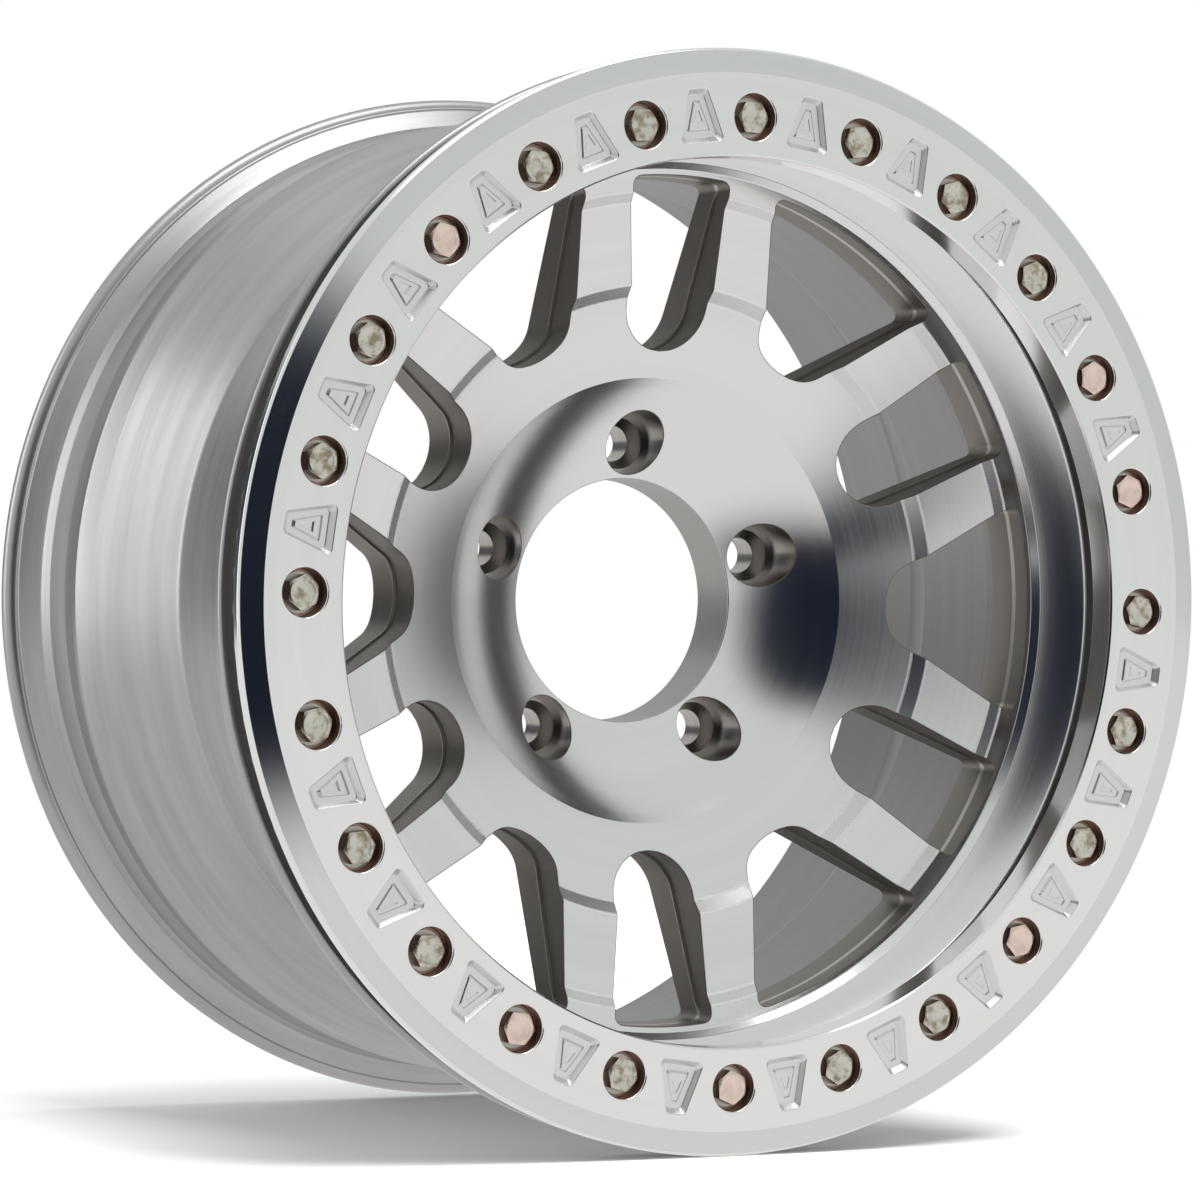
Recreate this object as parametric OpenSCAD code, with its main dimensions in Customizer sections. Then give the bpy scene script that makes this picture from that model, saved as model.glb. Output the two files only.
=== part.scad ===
/* [Mounting] */
// Distance that the hub mounting face lies behind the front face of the ring
mount_depth = 133; // [131:0.5:138]
// Number of lug holes
lug_count = 5; // [4:1:5]
// Diameter of the lug circle
lug_circle_d = 139.7; // [135:0.1:142]
// Diameter of the lug hole where the stud passes
lug_hole_d = 16; // [13:0.5:17]
// Diameter of the wide end of the lug nut's conical seat
lug_seat_d = 23; // [21:0.5:25]
// Full angle of the lug nut's conical seat
lug_seat_angle = 60; // [50:5:90]
// Diameter of the socket well in front of each lug seat
lug_well_d = 28; // [26:0.5:29]
// Thickness of metal between the lug seat and the mounting face
lug_floor = 19.5; // [16:0.5:21]
// Diameter of the centre bore
bore_d = 108; // [98:0.5:109]
// Diameter of the mounting pad on the back of the hub
pad_d = 176; // [172:1:180]
// Thickness of the hub at the centre bore
hub_thickness = 27.6; // [25:0.1:30]

/* [Wheel front] */
// Diameter of the dished hub where it meets the flat of the centre
dish_d = 196; // [190:1:200]
// Depth of the dish's edge behind the ring's front face
dish_edge_in = 81.6; // [80:0.1:84]
// Radius at the foot of the step that the windows' inner ends share
inner_step_r = 132.8; // [131:0.1:134]
// Depth of the foot of the inner step
inner_step_in = 71.9; // [71:0.1:73]
// Height of the inner step
inner_step_h = 4.6; // [3:0.1:5.5]
// Radius at the foot of the step at the spokes' outer ends
outer_step_r = 173.8; // [172:0.1:175]
// Depth of the foot of the outer step
outer_step_in = 64.6; // [63.5:0.1:65.5]
// Height of the outer step
outer_step_h = 3; // [1.5:0.1:3.5]
// Depth of the flat that runs round outside the windows
outer_flat_in = 60.8; // [60:0.1:61.5]

/* [Windows] */
// Number of pairs of windows, one wide and one narrow to a pair
window_pairs = 6; // [6:1:6]
// Distance from the flanges' edge in to the outer wall of every window
window_inset = 48.7; // [48:0.1:51]
// Distance of a wide window's inner end from the axis
wide_tip_r = 119; // [117:0.5:121]
// Radius of the shallow arc at a wide window's inner end
wide_tip_arc_r = 31; // [28:0.5:36]
// Radius of the two corners beside that arc
wide_corner_r = 14; // [10:0.5:16]
// Distance of a spoke's side on a wide window from the middle line of its pair of spokes
spoke_side = 48; // [46:0.5:49]
// Radius of a narrow window's round inner end
narrow_tip_r = 19.8; // [18:0.1:20.5]
// Distance of a narrow window's inner end from the axis
narrow_inner_r = 109.8; // [108:0.1:112]
// Half width of a narrow window at its outer end
narrow_outer_half = 24.3; // [22:0.1:25]
// Radius of the windows' outer corners
window_corner_r = 4; // [2:0.5:5]
// Height of the parting rib that runs round a window's wall
rib_h = 1.1; // [0.5:0.1:1.5]
// Width of the parting rib
rib_w = 2.6; // [1.5:0.1:4]

/* [Rim] */
// Diameter of the two rim flanges
flange_d = 468; // [466:0.5:470]
// Depth of the rim's rear edge behind the ring's front face
rim_depth = 261.7; // [258:0.1:266]
// Height of the rear flange above its bead seat
flange_h = 15; // [14.5:0.5:16]
// Depth of the well below the bead seat
well_drop = 23; // [21:0.5:24]
// Thickness of the rim's wall
rim_wall = 7.5; // [6:0.1:8.5]
// Height of the front flange above the pilot that the outer tyre bead slips over
pilot_drop = 16.5; // [15.5:0.5:17.5]
// Width of the land that carries the ring
land_w = 20; // [19:0.5:21]
// How far the lip narrows from the land down to its foot, on the radius
lip_drop = 6.7; // [5.5:0.1:7.5]
// Diameter of the valve hole
valve_hole_d = 11.5; // [11.3:0.1:16]
// Angle of the valve hole round the wheel, clockwise from the top as seen from the front
valve_angle = 255; // [240:1:300]

/* [Ring] */
// How far the bead ring stands out past the flanges, on the radius
ring_overhang = 1; // [0:0.5:2]
// Width of the ring's face from its outer edge to its hole
ring_w = 46; // [44:0.5:47]
// Thickness of the ring where it sits on the land
ring_thickness = 14.2; // [12.5:0.1:16]
// Thickness of the ring outside the land, in front of the tyre bead
ring_lip_thickness = 6.3; // [5.5:0.1:7]
// Width of the shallow bevel along the ring's outer edge
bevel_w = 10.6; // [8:0.1:13]
// Depth of the bevel at the ring's edge
bevel_drop = 1.6; // [1:0.1:2.5]
// Number of teeth that grip the tyre bead
tooth_count = 96; // [72:24:96]
// Width of a tooth
tooth_w = 8.6; // [6:0.1:9.5]
// Height of a tooth
tooth_h = 3.3; // [2:0.1:3.6]
// Depth of a pocket in the ring's face
pocket_depth = 3; // [1.5:0.1:3.5]

/* [Ring bolts] */
// Number of ring bolts
bolt_count = 24; // [24:1:24]
// Distance from the flanges' edge in to the bolt circle
bolt_inset = 28; // [27:0.5:29]
// Diameter of the counterbore round a bolt head
counterbore_d = 20; // [19:0.5:21]
// Depth of the counterbore
counterbore_depth = 8.1; // [7.5:0.1:9]
// Width of the hexagon across its flats
hex_flats = 13; // [12:0.1:13.5]
// Height of the hexagon head
hex_h = 5.3; // [4.5:0.1:6]
// Diameter of the bolt's shank
shank_d = 8; // [7:0.1:8]
// Length of the bolt below its head
shank_l = 25; // [22:0.5:27]
// Outer diameter of the washer
washer_d = 17; // [16:0.1:18]
// Thickness of the washer
washer_t = 1.6; // [1.2:0.1:2]

/* [Hidden] */
$fn = 96;
cut = 1;
bolt_pitch = 360 / bolt_count;
window_pitch = 180 / window_pairs;
bolt_numbers = [for (i = [1:bolt_count]) str(i < 10 ? "0" : "", i)];
bolt_names = [for (n = bolt_numbers) str("ring_bolt_", n)];
washer_names = [for (n = bolt_numbers) str("bolt_washer_", n)];

flange_r = flange_d / 2;
bolt_r = flange_r - bolt_inset;
pilot_r = flange_r - pilot_drop;
land_inner_r = pilot_r - land_w;
lip_foot_r = land_inner_r - lip_drop;
window_outer_r = flange_r - window_inset;
seat_r = flange_r - flange_h;
well_r = seat_r - well_drop;
ring_r = flange_r + ring_overhang;
ring_inner_r = ring_r - ring_w;
bevel_r = ring_r - bevel_w;
bore_r = bore_d / 2;
pad_r = pad_d / 2;
dish_r = dish_d / 2;
hub_front_in = mount_depth - hub_thickness;
bolt_seat_in = counterbore_depth - washer_t;

// Gaps between the ring's pieces, on the radius
pilot_clearance = 0.3;
bolt_clearance = 0.4;
washer_clearance = 0.2;

// A depth behind the ring's front face, as a place on the wheel's axis
function y_of(depth) = depth - mount_depth;

// A profile of [radius, depth] points, as [radius, axis] points
function profile(points) = [for (p = points) [p[0], y_of(p[1])]];

// Turns a flat section round the wheel's axis
module turned() {
    rotate([-90, 0, 0]) rotate_extrude() children();
}

// Cuts straight through from one depth to another, in the shape of a front view
module through(from_in, to_in) {
    translate([0, y_of(to_in), 0]) rotate([90, 0, 0]) linear_extrude(to_in - from_in) children();
}

// Places a child at an angle clockwise from the top, at a radius
module around(angle, r = 0) {
    rotate([0, angle, 0]) translate([0, 0, r]) children();
}

// The rim's outside, from the ring's land back to the rear flange
flange_front_in = 21.5;
flange_round_r = 2.6;
flange_back_in = 29;
flange_foot_h = 6;
flange_foot_in = 31;
slope_start_in = 41;
slope_start_drop = 1;
slope_end_in = 59;
slope_end_h = 7;
well_front_in = 68;
well_back_in = 148;
shoulder_in = 194;
shoulder_drop = 3;
hump_start_in = 203;
hump_top_in = 207;
hump_end_in = 210;
hump_h = 0.6;
seat_start_in = 222.8;
seat_start_drop = 1;
seat_end_in = 237.6;
flange_root_in = 243.5;
flange_root_h = 1.8;
rear_flange_in = 246.5;
rear_flange_h = 5;
lip_round_r = 5;
lip_start_in = 250.5;

rim_outside = [
    [pilot_r, ring_thickness],
    [pilot_r, flange_front_in],
    [flange_r - flange_round_r, flange_front_in],
    [flange_r - flange_round_r, flange_back_in - flange_round_r],
    [pilot_r + flange_foot_h, flange_foot_in],
    [pilot_r - slope_start_drop, slope_start_in],
    [well_r + slope_end_h, slope_end_in],
    [well_r, well_front_in],
    [well_r, well_back_in],
    [seat_r - shoulder_drop, shoulder_in],
    [seat_r - hump_h, hump_start_in],
    [seat_r + hump_h, hump_top_in],
    [seat_r + hump_h, hump_end_in],
    [seat_r - seat_start_drop, seat_start_in],
    [seat_r, seat_end_in],
    [seat_r + flange_root_h, flange_root_in],
    [seat_r + rear_flange_h, rear_flange_in],
    [flange_r - lip_round_r, lip_start_in],
    [flange_r - lip_round_r, rim_depth],
];

// The rim's inside, from the rear edge forward to the windows' outer wall
centre_back_in = 87;
well_wall_end_in = 97;
slope_inside_start_in = 151;
slope_inside_end_in = 198;
mouth_start_in = 247.5;
mouth_step = 2;
mouth_chamfer = 3;
rim_inside = [
    [seat_r + mouth_step, rim_depth - mouth_chamfer],
    [seat_r - rim_wall, mouth_start_in],
    [seat_r - rim_wall, slope_inside_end_in],
    [well_r - rim_wall, slope_inside_start_in],
    [well_r - rim_wall, well_wall_end_in],
    [window_outer_r, centre_back_in],
];

// The back of the centre, from the windows' outer wall in to the mounting pad
web_back_r = 122;
web_back_in = 114;
pad_foot_r = 100;
pad_foot_in = 122;
pad_edge_w = 5;
pad_edge_h = 6;
centre_back = [
    [web_back_r, web_back_in],
    [pad_foot_r, pad_foot_in],
    [pad_r + pad_edge_w, mount_depth - pad_edge_h],
    [pad_r, mount_depth],
    [bore_r, mount_depth],
];

// The machined front, from the bore out to the land
step_slope_w = 1;
outer_step_slope_w = 1.7;
lip_fillet_r = 3;
lip_front_in = 33;
lip_front_step = 0.7;
lip_front_chamfer = 2;
machined_front = [
    [bore_r, dish_edge_in],
    [dish_r, dish_edge_in],
    [inner_step_r, inner_step_in],
    [inner_step_r + inner_step_h + step_slope_w, inner_step_in - inner_step_h],
    [outer_step_r, outer_step_in],
    [outer_step_r + outer_step_h + outer_step_slope_w, outer_step_in - outer_step_h],
    [lip_foot_r - lip_fillet_r, outer_flat_in],
    [lip_foot_r, outer_flat_in - lip_fillet_r],
    [land_inner_r - lip_front_step, lip_front_in],
    [land_inner_r, lip_front_in - lip_front_chamfer],
    [land_inner_r, ring_thickness],
];

// The rounded edges of the front and the rear flange
module flange_rounds() {
    translate([flange_r - flange_round_r, y_of(flange_front_in + flange_round_r)]) circle(flange_round_r);
    translate([flange_r - flange_round_r, y_of(flange_back_in - flange_round_r)]) circle(flange_round_r);
    translate([flange_r - flange_round_r, y_of(flange_front_in + flange_round_r)])
        square([flange_round_r, flange_back_in - flange_front_in - 2 * flange_round_r]);
    translate([flange_r - lip_round_r, y_of(rim_depth - lip_round_r)]) circle(lip_round_r);
}

module wheel_section() {
    difference() {
        union() {
            polygon(profile(concat(machined_front, rim_outside, rim_inside, centre_back)));
            flange_rounds();
        }
        translate([flange_r - flange_round_r, y_of(flange_front_in)]) front_corner();
    }
}

// What stands outside the front flange's round edge
module front_corner() {
    difference() {
        translate([0, -cut]) square([flange_round_r + cut, flange_round_r + cut]);
        translate([0, flange_round_r]) circle(flange_round_r);
        translate([-cut, 0]) square([cut, flange_round_r]);
    }
}

// The ball whose surface is the dish: it passes through the dish's edge and the bore's front edge
dish_centre_in = (dish_r ^ 2 + dish_edge_in ^ 2 - bore_r ^ 2 - hub_front_in ^ 2)
    / (2 * (dish_edge_in - hub_front_in));
dish_ball_r = sqrt(dish_r ^ 2 + (dish_edge_in - dish_centre_in) ^ 2);

module dish() {
    translate([0, y_of(dish_centre_in), 0]) sphere(dish_ball_r);
}

// How far a round corner stands past the lines that it joins, so that they cross cleanly
corner_overlap = 0.05;
tip_overlap = 0.03;

// The centre of the round corner between a window's straight side and the windows' outer wall. The
// side runs through a point in a direction, and out is the way that it faces out of the window
function corner_centre(point, direction, out) =
    let (reach = window_corner_r - corner_overlap, start = point - reach * out, ahead = start * direction)
        start + direction * (sqrt(ahead ^ 2 - start * start + (window_outer_r - reach) ^ 2) - ahead);

// What a round corner takes off a window's sharp one
module corner_waste(point, direction) {
    out = [direction[1], -direction[0]];
    centre = corner_centre(point, direction, out);
    beyond = window_outer_r + cut;
    for (side = [0, 1]) mirror([side, 0]) difference() {
        polygon([centre, centre + (window_corner_r + cut) * out, centre + 2 * window_corner_r * (out + direction),
            centre * beyond / norm(centre)]);
        translate(centre) circle(window_corner_r);
    }
}

// A narrow window: round at the hub and slightly wider at the rim
module narrow_outline(inset) {
    tip_r = narrow_tip_r - inset;
    tip_z = narrow_inner_r + narrow_tip_r;
    run = [narrow_outer_half - narrow_tip_r, window_outer_r - tip_z];
    near = [tip_r, tip_z] - run * cut / run[1];
    far = [tip_r, tip_z] + run * (1 + cut / run[1]);
    difference() {
        union() {
            translate([0, tip_z]) circle(tip_r);
            polygon([[-near[0], near[1]], near, far, [-far[0], far[1]]]);
        }
        corner_waste([tip_r, tip_z], run / norm(run));
    }
}

// A wide window: its sides run parallel to the spokes beside it and meet a blunt inner end
module wide_outline(inset) {
    slope = window_pitch;
    along_side = [sin(slope), cos(slope)];
    out = [cos(slope), -sin(slope)];
    apex = [0, (spoke_side + inset) / sin(slope)];
    arc_r = wide_tip_arc_r;
    arc_centre = [0, wide_tip_r + inset + arc_r];
    // The corner circle touches the side and lies against the arc from inside
    side_gap = (arc_centre[1] - apex[1]) * sin(slope) - wide_corner_r;
    back = sqrt((arc_r - wide_corner_r) ^ 2 - side_gap ^ 2);
    corner = arc_centre + side_gap * out - back * along_side;
    touch = corner + wide_corner_r * out;
    far = apex + along_side * (window_outer_r + cut - apex[1]) / cos(slope);
    // Two lines from the arc's centre through the corners' centres hold the arc between them
    wedge = arc_centre + 2 * arc_r / (arc_r - wide_corner_r) * (corner - arc_centre);
    difference() {
        union() {
            polygon([arc_centre, [-corner[0], corner[1]], [-touch[0], touch[1]], [-far[0], far[1]],
                far, touch, corner]);
            for (side = [-1, 1]) translate([side * corner[0], corner[1]]) circle(wide_corner_r + tip_overlap);
            intersection() {
                translate(arc_centre) circle(arc_r);
                polygon([arc_centre, [-wedge[0], wedge[1]], wedge]);
            }
        }
        corner_waste(touch, along_side);
    }
}

// Every window in a front view, cut off round at the rim
module window_outlines(inset) {
    intersection() {
        circle(window_outer_r);
        for (i = [0:window_pairs - 1]) {
            rotate(i * 2 * window_pitch) narrow_outline(inset);
            rotate((2 * i + 1) * window_pitch) wide_outline(inset);
        }
    }
}

// The cone-shaped layer in which the parting rib stands. It ends where the sides of the windows
// run into their outer corners
rib_inner_in = 97;
rib_outer_in = 71.7;
rib_inner_gap = 5;
rib_corner_gap = 1.4;
module rib_layer() {
    inner_r = narrow_inner_r - rib_inner_gap;
    outer_r = window_outer_r - window_corner_r - rib_corner_gap;
    turned() polygon(profile([
        [inner_r, rib_inner_in],
        [outer_r, rib_outer_in],
        [outer_r, rib_outer_in + rib_w],
        [inner_r, rib_inner_in + rib_w],
    ]));
}

// How far in front of the outer flat the windows' cut starts
window_lead = 10;
module windows() {
    through(outer_flat_in - window_lead, mount_depth + cut) window_outlines(rib_h);
    difference() {
        through(outer_flat_in - window_lead, mount_depth + cut) window_outlines(0);
        rib_layer();
    }
}

// One lug hole: socket well, conical seat and stud hole
module lug_hole() {
    seat_in = mount_depth - lug_floor;
    cone_h = (lug_seat_d - lug_hole_d) / 2 / tan(lug_seat_angle / 2);
    turned() polygon(profile([
        [0, dish_edge_in],
        [lug_well_d / 2, dish_edge_in],
        [lug_well_d / 2, seat_in],
        [lug_seat_d / 2, seat_in],
        [lug_hole_d / 2, seat_in + cone_h],
        [lug_hole_d / 2, mount_depth + cut],
        [0, mount_depth + cut],
    ]));
}

// The shallow pockets cast in the pad between the lug holes: a ring-shaped band, less what is left
// standing round each lug hole
pad_pocket_depth = 7;
pad_pocket_h = 18;
pad_pocket_half_angle = 16;
module pad_pockets() {
    inner_r = (lug_circle_d - pad_pocket_h) / 2;
    outer_r = (lug_circle_d + pad_pocket_h) / 2;
    sweep = lug_circle_d * tan(pad_pocket_half_angle);
    for (i = [0:lug_count - 1]) intersection() {
        turned() polygon(profile([
            [inner_r, mount_depth - pad_pocket_depth],
            [outer_r, mount_depth - pad_pocket_depth],
            [outer_r, mount_depth + cut],
            [inner_r, mount_depth + cut],
        ]));
        around((i + 0.5) * 360 / lug_count) through(mount_depth - pad_pocket_depth - cut, mount_depth + 2 * cut)
            polygon([[0, 0], [sweep, lug_circle_d], [-sweep, lug_circle_d]]);
    }
}

// One threaded hole for a ring bolt, with a lead-in at its mouth
thread_clearance = 0.1;
bolt_tip_gap = 3.7;
thread_lead_in = 1;
module bolt_hole() {
    hole_r = shank_d / 2 + thread_clearance;
    end_in = bolt_seat_in + shank_l + bolt_tip_gap;
    turned() polygon(profile([
        [0, ring_thickness - cut],
        [hole_r + thread_lead_in + cut, ring_thickness - cut],
        [hole_r, ring_thickness + thread_lead_in],
        [hole_r, end_in],
        [0, end_in],
    ]));
}

// The valve hole: it runs from the lip, forward of the windows, out and back into the slope that
// leads down to the well, at the bottom of a spot face
valve_in = 47;
valve_tilt = 35;
valve_face_d = 20;
valve_face_out = 11;
valve_reach = 30;
module valve_hole() {
    around(valve_angle, lip_foot_r) translate([0, y_of(valve_in), 0]) rotate([-valve_tilt, 0, 0]) {
        cylinder(h = valve_reach, d = valve_hole_d);
        translate([0, 0, valve_face_out - valve_reach]) cylinder(h = valve_reach, d = valve_face_d);
    }
}

module wheel() {
    color("#c9cacb") difference() {
        turned() wheel_section();
        dish();
        windows();
        for (i = [0:lug_count - 1]) around(i * 360 / lug_count, lug_circle_d / 2) lug_hole();
        pad_pockets();
        for (i = [0:bolt_count - 1]) around(i * bolt_pitch, bolt_r) bolt_hole();
        valve_hole();
    }
}

// The ring's section, with its bevelled front and its thin lip over the tyre bead
edge_round_r = 2;
ring_chamfer = 0.8;
module ring_section() {
    step_r = pilot_r - pilot_clearance;
    polygon(profile([
        [ring_inner_r, ring_chamfer],
        [ring_inner_r + ring_chamfer, 0],
        [bevel_r, 0],
        [ring_r - edge_round_r, bevel_drop],
        [ring_r - edge_round_r, ring_lip_thickness],
        [step_r, ring_lip_thickness],
        [step_r, ring_thickness],
        [ring_inner_r, ring_thickness],
    ]));
    translate([ring_r - edge_round_r, y_of(bevel_drop + edge_round_r)]) circle(edge_round_r);
    translate([ring_r - edge_round_r, y_of(bevel_drop + edge_round_r)])
        square([edge_round_r, ring_lip_thickness - bevel_drop - edge_round_r]);
}

// One pocket in the ring's face, between two bolts: four-sided, with sloping walls and a raised
// three-sided form on its floor
pocket_mid_r = bolt_r + 0.5;
pocket_h = 23;
pocket_wide = 20.5;
pocket_narrow = 7;
pocket_corner_r = 2.4;
corner_steps = 4;
pocket_floor_scale = 0.74;
module pocket_outline() {
    half_h = pocket_h / 2 - pocket_corner_r;
    wide = pocket_wide / 2 - pocket_corner_r;
    narrow = pocket_narrow / 2 - pocket_corner_r;
    lean = atan2(wide - narrow, 2 * half_h);
    polygon(concat(
        corner([wide, -half_h], -90, lean),
        corner([narrow, half_h], lean, 90),
        corner([-narrow, half_h], 90, 180 - lean),
        corner([-wide, -half_h], 180 - lean, 270)
    ));
}

// The points of one rounded corner of a pocket
function corner(centre, from, to) = [
    for (k = [0:corner_steps]) let (a = from + (to - from) * k / corner_steps)
        centre + pocket_corner_r * [cos(a), sin(a)]
];

form_h = 1.4;
form_half_w = 4.6;
form_half_h = 5.5;
module pocket() {
    translate([0, y_of(pocket_depth), 0]) rotate([90, 0, 0]) difference() {
        linear_extrude(pocket_depth, scale = 1 / pocket_floor_scale) scale(pocket_floor_scale) pocket_outline();
        linear_extrude(form_h, scale = 0.25)
            polygon([[-form_half_w, -form_half_h], [form_half_w, -form_half_h], [0, form_half_h]]);
    }
}

// Two opposite places between bolts stay plain
function has_pocket(i) = i != 5 && i != 17;

// One tooth on the back of the ring's lip
tooth_l = 9;
tooth_inner_r = ring_r - tooth_l;
module tooth() {
    tooth_r = (tooth_w ^ 2 / 4 + tooth_h ^ 2) / (2 * tooth_h);
    intersection() {
        translate([0, y_of(ring_lip_thickness + tooth_h - tooth_r), tooth_inner_r])
            cylinder(h = tooth_l - edge_round_r / 2, r = tooth_r);
        translate([-tooth_w, y_of(ring_lip_thickness - cut), 0]) cube([2 * tooth_w, tooth_h + 2 * cut, ring_r]);
    }
}

// One counterbored hole in the ring, with a small chamfer at its rim
rim_chamfer = 0.6;
module ring_hole() {
    hole_r = shank_d / 2 + bolt_clearance;
    turned() polygon(profile([
        [0, -cut],
        [counterbore_d / 2 + rim_chamfer + cut, -cut],
        [counterbore_d / 2, rim_chamfer],
        [counterbore_d / 2, counterbore_depth],
        [hole_r, counterbore_depth],
        [hole_r, ring_thickness + cut],
        [0, ring_thickness + cut],
    ]));
}

module bead_ring() {
    color("#d8d9da") difference() {
        union() {
            turned() ring_section();
            for (i = [0:tooth_count - 1]) around((i + 0.5) * 360 / tooth_count) tooth();
        }
        for (i = [0:bolt_count - 1]) {
            around(i * bolt_pitch, bolt_r) ring_hole();
            if (has_pocket(i)) around((i + 0.5) * bolt_pitch, pocket_mid_r) pocket();
        }
    }
}

// The bolts were tightened to different turns
turn_step = 37;
hex_turn = 60;
function bolt_turn(i) = (i * turn_step) % hex_turn;

// A hexagon bolt: its head's corners are turned off at the top and its end is bevelled
head_top_share = 0.93;
head_corner_slope = 1.8;
end_chamfer = 1;
module ring_bolt(i) {
    seat_in = bolt_seat_in;
    corner_r = hex_flats / 2 / cos(30);
    top_r = hex_flats / 2 * head_top_share;
    color("#b9b6a8") around(i * bolt_pitch, bolt_r) rotate([0, bolt_turn(i), 0]) {
        intersection() {
            translate([0, y_of(seat_in), 0]) rotate([90, 0, 0]) cylinder(h = hex_h, r = corner_r, $fn = 6);
            translate([0, y_of(seat_in), 0]) rotate([90, 0, 0])
                cylinder(h = hex_h, r1 = top_r + hex_h * head_corner_slope, r2 = top_r);
        }
        turned() polygon(profile([
            [0, seat_in - cut],
            [shank_d / 2, seat_in - cut],
            [shank_d / 2, seat_in + shank_l - end_chamfer],
            [shank_d / 2 - end_chamfer, seat_in + shank_l],
            [0, seat_in + shank_l],
        ]));
    }
}

module bolt_washer(i) {
    color("#a5a49c") around(i * bolt_pitch, bolt_r) turned() polygon(profile([
        [shank_d / 2 + washer_clearance, bolt_seat_in],
        [washer_d / 2, bolt_seat_in],
        [washer_d / 2, counterbore_depth],
        [shank_d / 2 + washer_clearance, counterbore_depth],
    ]));
}

wheel();
bead_ring();
for (i = [0:bolt_count - 1]) {
    ring_bolt(i);
    bolt_washer(i);
}
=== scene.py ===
import math

import bmesh
import bpy
import numpy as np
from mathutils import Matrix, Vector


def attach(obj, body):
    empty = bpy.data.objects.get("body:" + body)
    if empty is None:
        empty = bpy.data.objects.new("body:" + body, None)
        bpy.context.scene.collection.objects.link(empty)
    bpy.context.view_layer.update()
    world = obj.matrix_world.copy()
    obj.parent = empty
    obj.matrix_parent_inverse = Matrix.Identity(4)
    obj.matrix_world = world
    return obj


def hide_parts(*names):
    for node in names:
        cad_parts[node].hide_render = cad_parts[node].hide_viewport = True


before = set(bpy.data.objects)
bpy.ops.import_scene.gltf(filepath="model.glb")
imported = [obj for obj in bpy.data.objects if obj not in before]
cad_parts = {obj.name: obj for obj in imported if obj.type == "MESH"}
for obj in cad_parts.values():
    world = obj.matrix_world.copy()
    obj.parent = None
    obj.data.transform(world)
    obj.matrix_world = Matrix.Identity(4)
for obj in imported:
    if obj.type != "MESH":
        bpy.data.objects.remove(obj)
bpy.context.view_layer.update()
print("frame loaded")

mountDepth = 133.0  # the hub mounting face lies this far behind the ring's front, in mm

# the zones of finish, in the order of the material slots
wheelZones = ("machined", "windowWall", "outerWall", "back", "barrel", "socket", "bore", "inside", "lip",
              "step", "rib", "edgeLine")
ringZones = ("face", "counterbore", "pocket", "teeth", "bevel")
boltZones = ("head", "side")


# A surface is collected as quads. Each corner holds its place as radius, angle clockwise from the
# top and depth behind the ring's front, and its normal as radial, sideways and depth parts.

def startSurface(zones):
    return {"points": [], "faces": [], "normals": [], "zones": [], "order": zones}


def addGrid(surface, rows, zone, flat=False):
    # rows of corners (r, angle, depth, nr, nt, nd), all of one length
    base, width = len(surface["points"]), len(rows[0])
    for row in rows:
        for r, angle, depth, *_ in row:
            a = math.radians(angle)
            surface["points"].append((r * math.sin(a), depth - mountDepth, r * math.cos(a)))
    for i in range(len(rows) - 1):
        for j in range(width - 1):
            corners = [(i, j), (i, j + 1), (i + 1, j + 1), (i + 1, j)]
            ids = [base + a * width + b for a, b in corners]
            spots = [np.array(surface["points"][k]) for k in ids]
            faceNormal = np.cross(spots[2] - spots[0], spots[3] - spots[1])
            size = np.linalg.norm(faceNormal)
            if size < 1e-9:
                continue
            normals = [rows[a][b][3:6] for a, b in corners]
            middle = math.radians(rows[i][j][1])
            meant = sum(np.array(turnOut(n, math.radians(rows[a][b][1])))
                        for n, (a, b) in zip(normals, corners))
            if faceNormal @ meant < 0:
                ids, normals, faceNormal = ids[::-1], normals[::-1], -faceNormal
            if flat:
                plain = turnIn(faceNormal / size, middle)
                normals = [plain] * 4
            surface["faces"].append(ids)
            surface["normals"].append(normals)
            surface["zones"].append(zone)


def turnOut(n, a):
    # radial, sideways and depth parts to x, y, z
    return (n[0] * math.sin(a) + n[1] * math.cos(a), n[2], n[0] * math.cos(a) - n[1] * math.sin(a))


def turnIn(n, a):
    return (n[0] * math.sin(a) + n[2] * math.cos(a), n[0] * math.cos(a) - n[2] * math.sin(a), n[1])


def mirrorRows(rows):
    return [[(r, -a, d, nr, -nt, nd) for r, a, d, nr, nt, nd in row] for row in rows]


def addBothHalves(surface, rows, zone, flat=False):
    addGrid(surface, rows, zone, flat)
    addGrid(surface, mirrorRows(rows), zone, flat)


def changeZone(surface, old, low, high, new, deepest=1000.0):
    # faces of one zone between two radii, and less deep than a limit, get another zone
    for k, face in enumerate(surface["faces"]):
        spots = [surface["points"][p] for p in face]
        radii = [math.hypot(spot[0], spot[2]) for spot in spots]
        depth = max(spot[1] for spot in spots) + mountDepth
        if surface["zones"][k] == old and low < min(radii) and max(radii) < high and depth < deepest:
            surface["zones"][k] = new


def surfaceToObject(surface, name):
    mesh = bpy.data.meshes.new(name)
    mesh.from_pydata([tuple(v / 1000 for v in p) for p in surface["points"]], [], surface["faces"])
    corner = mesh.attributes.new("turnedNormal", "FLOAT_VECTOR", "CORNER")
    flatList = [value for normals in surface["normals"] for n in normals for value in n]
    corner.data.foreach_set("vector", flatList)
    zone = mesh.attributes.new("zone", "INT", "FACE")
    zone.data.foreach_set("value", [surface["order"].index(label) for label in surface["zones"]])
    made = bpy.data.objects.new(name, mesh)
    bpy.context.scene.collection.objects.link(made)
    return made


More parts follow.
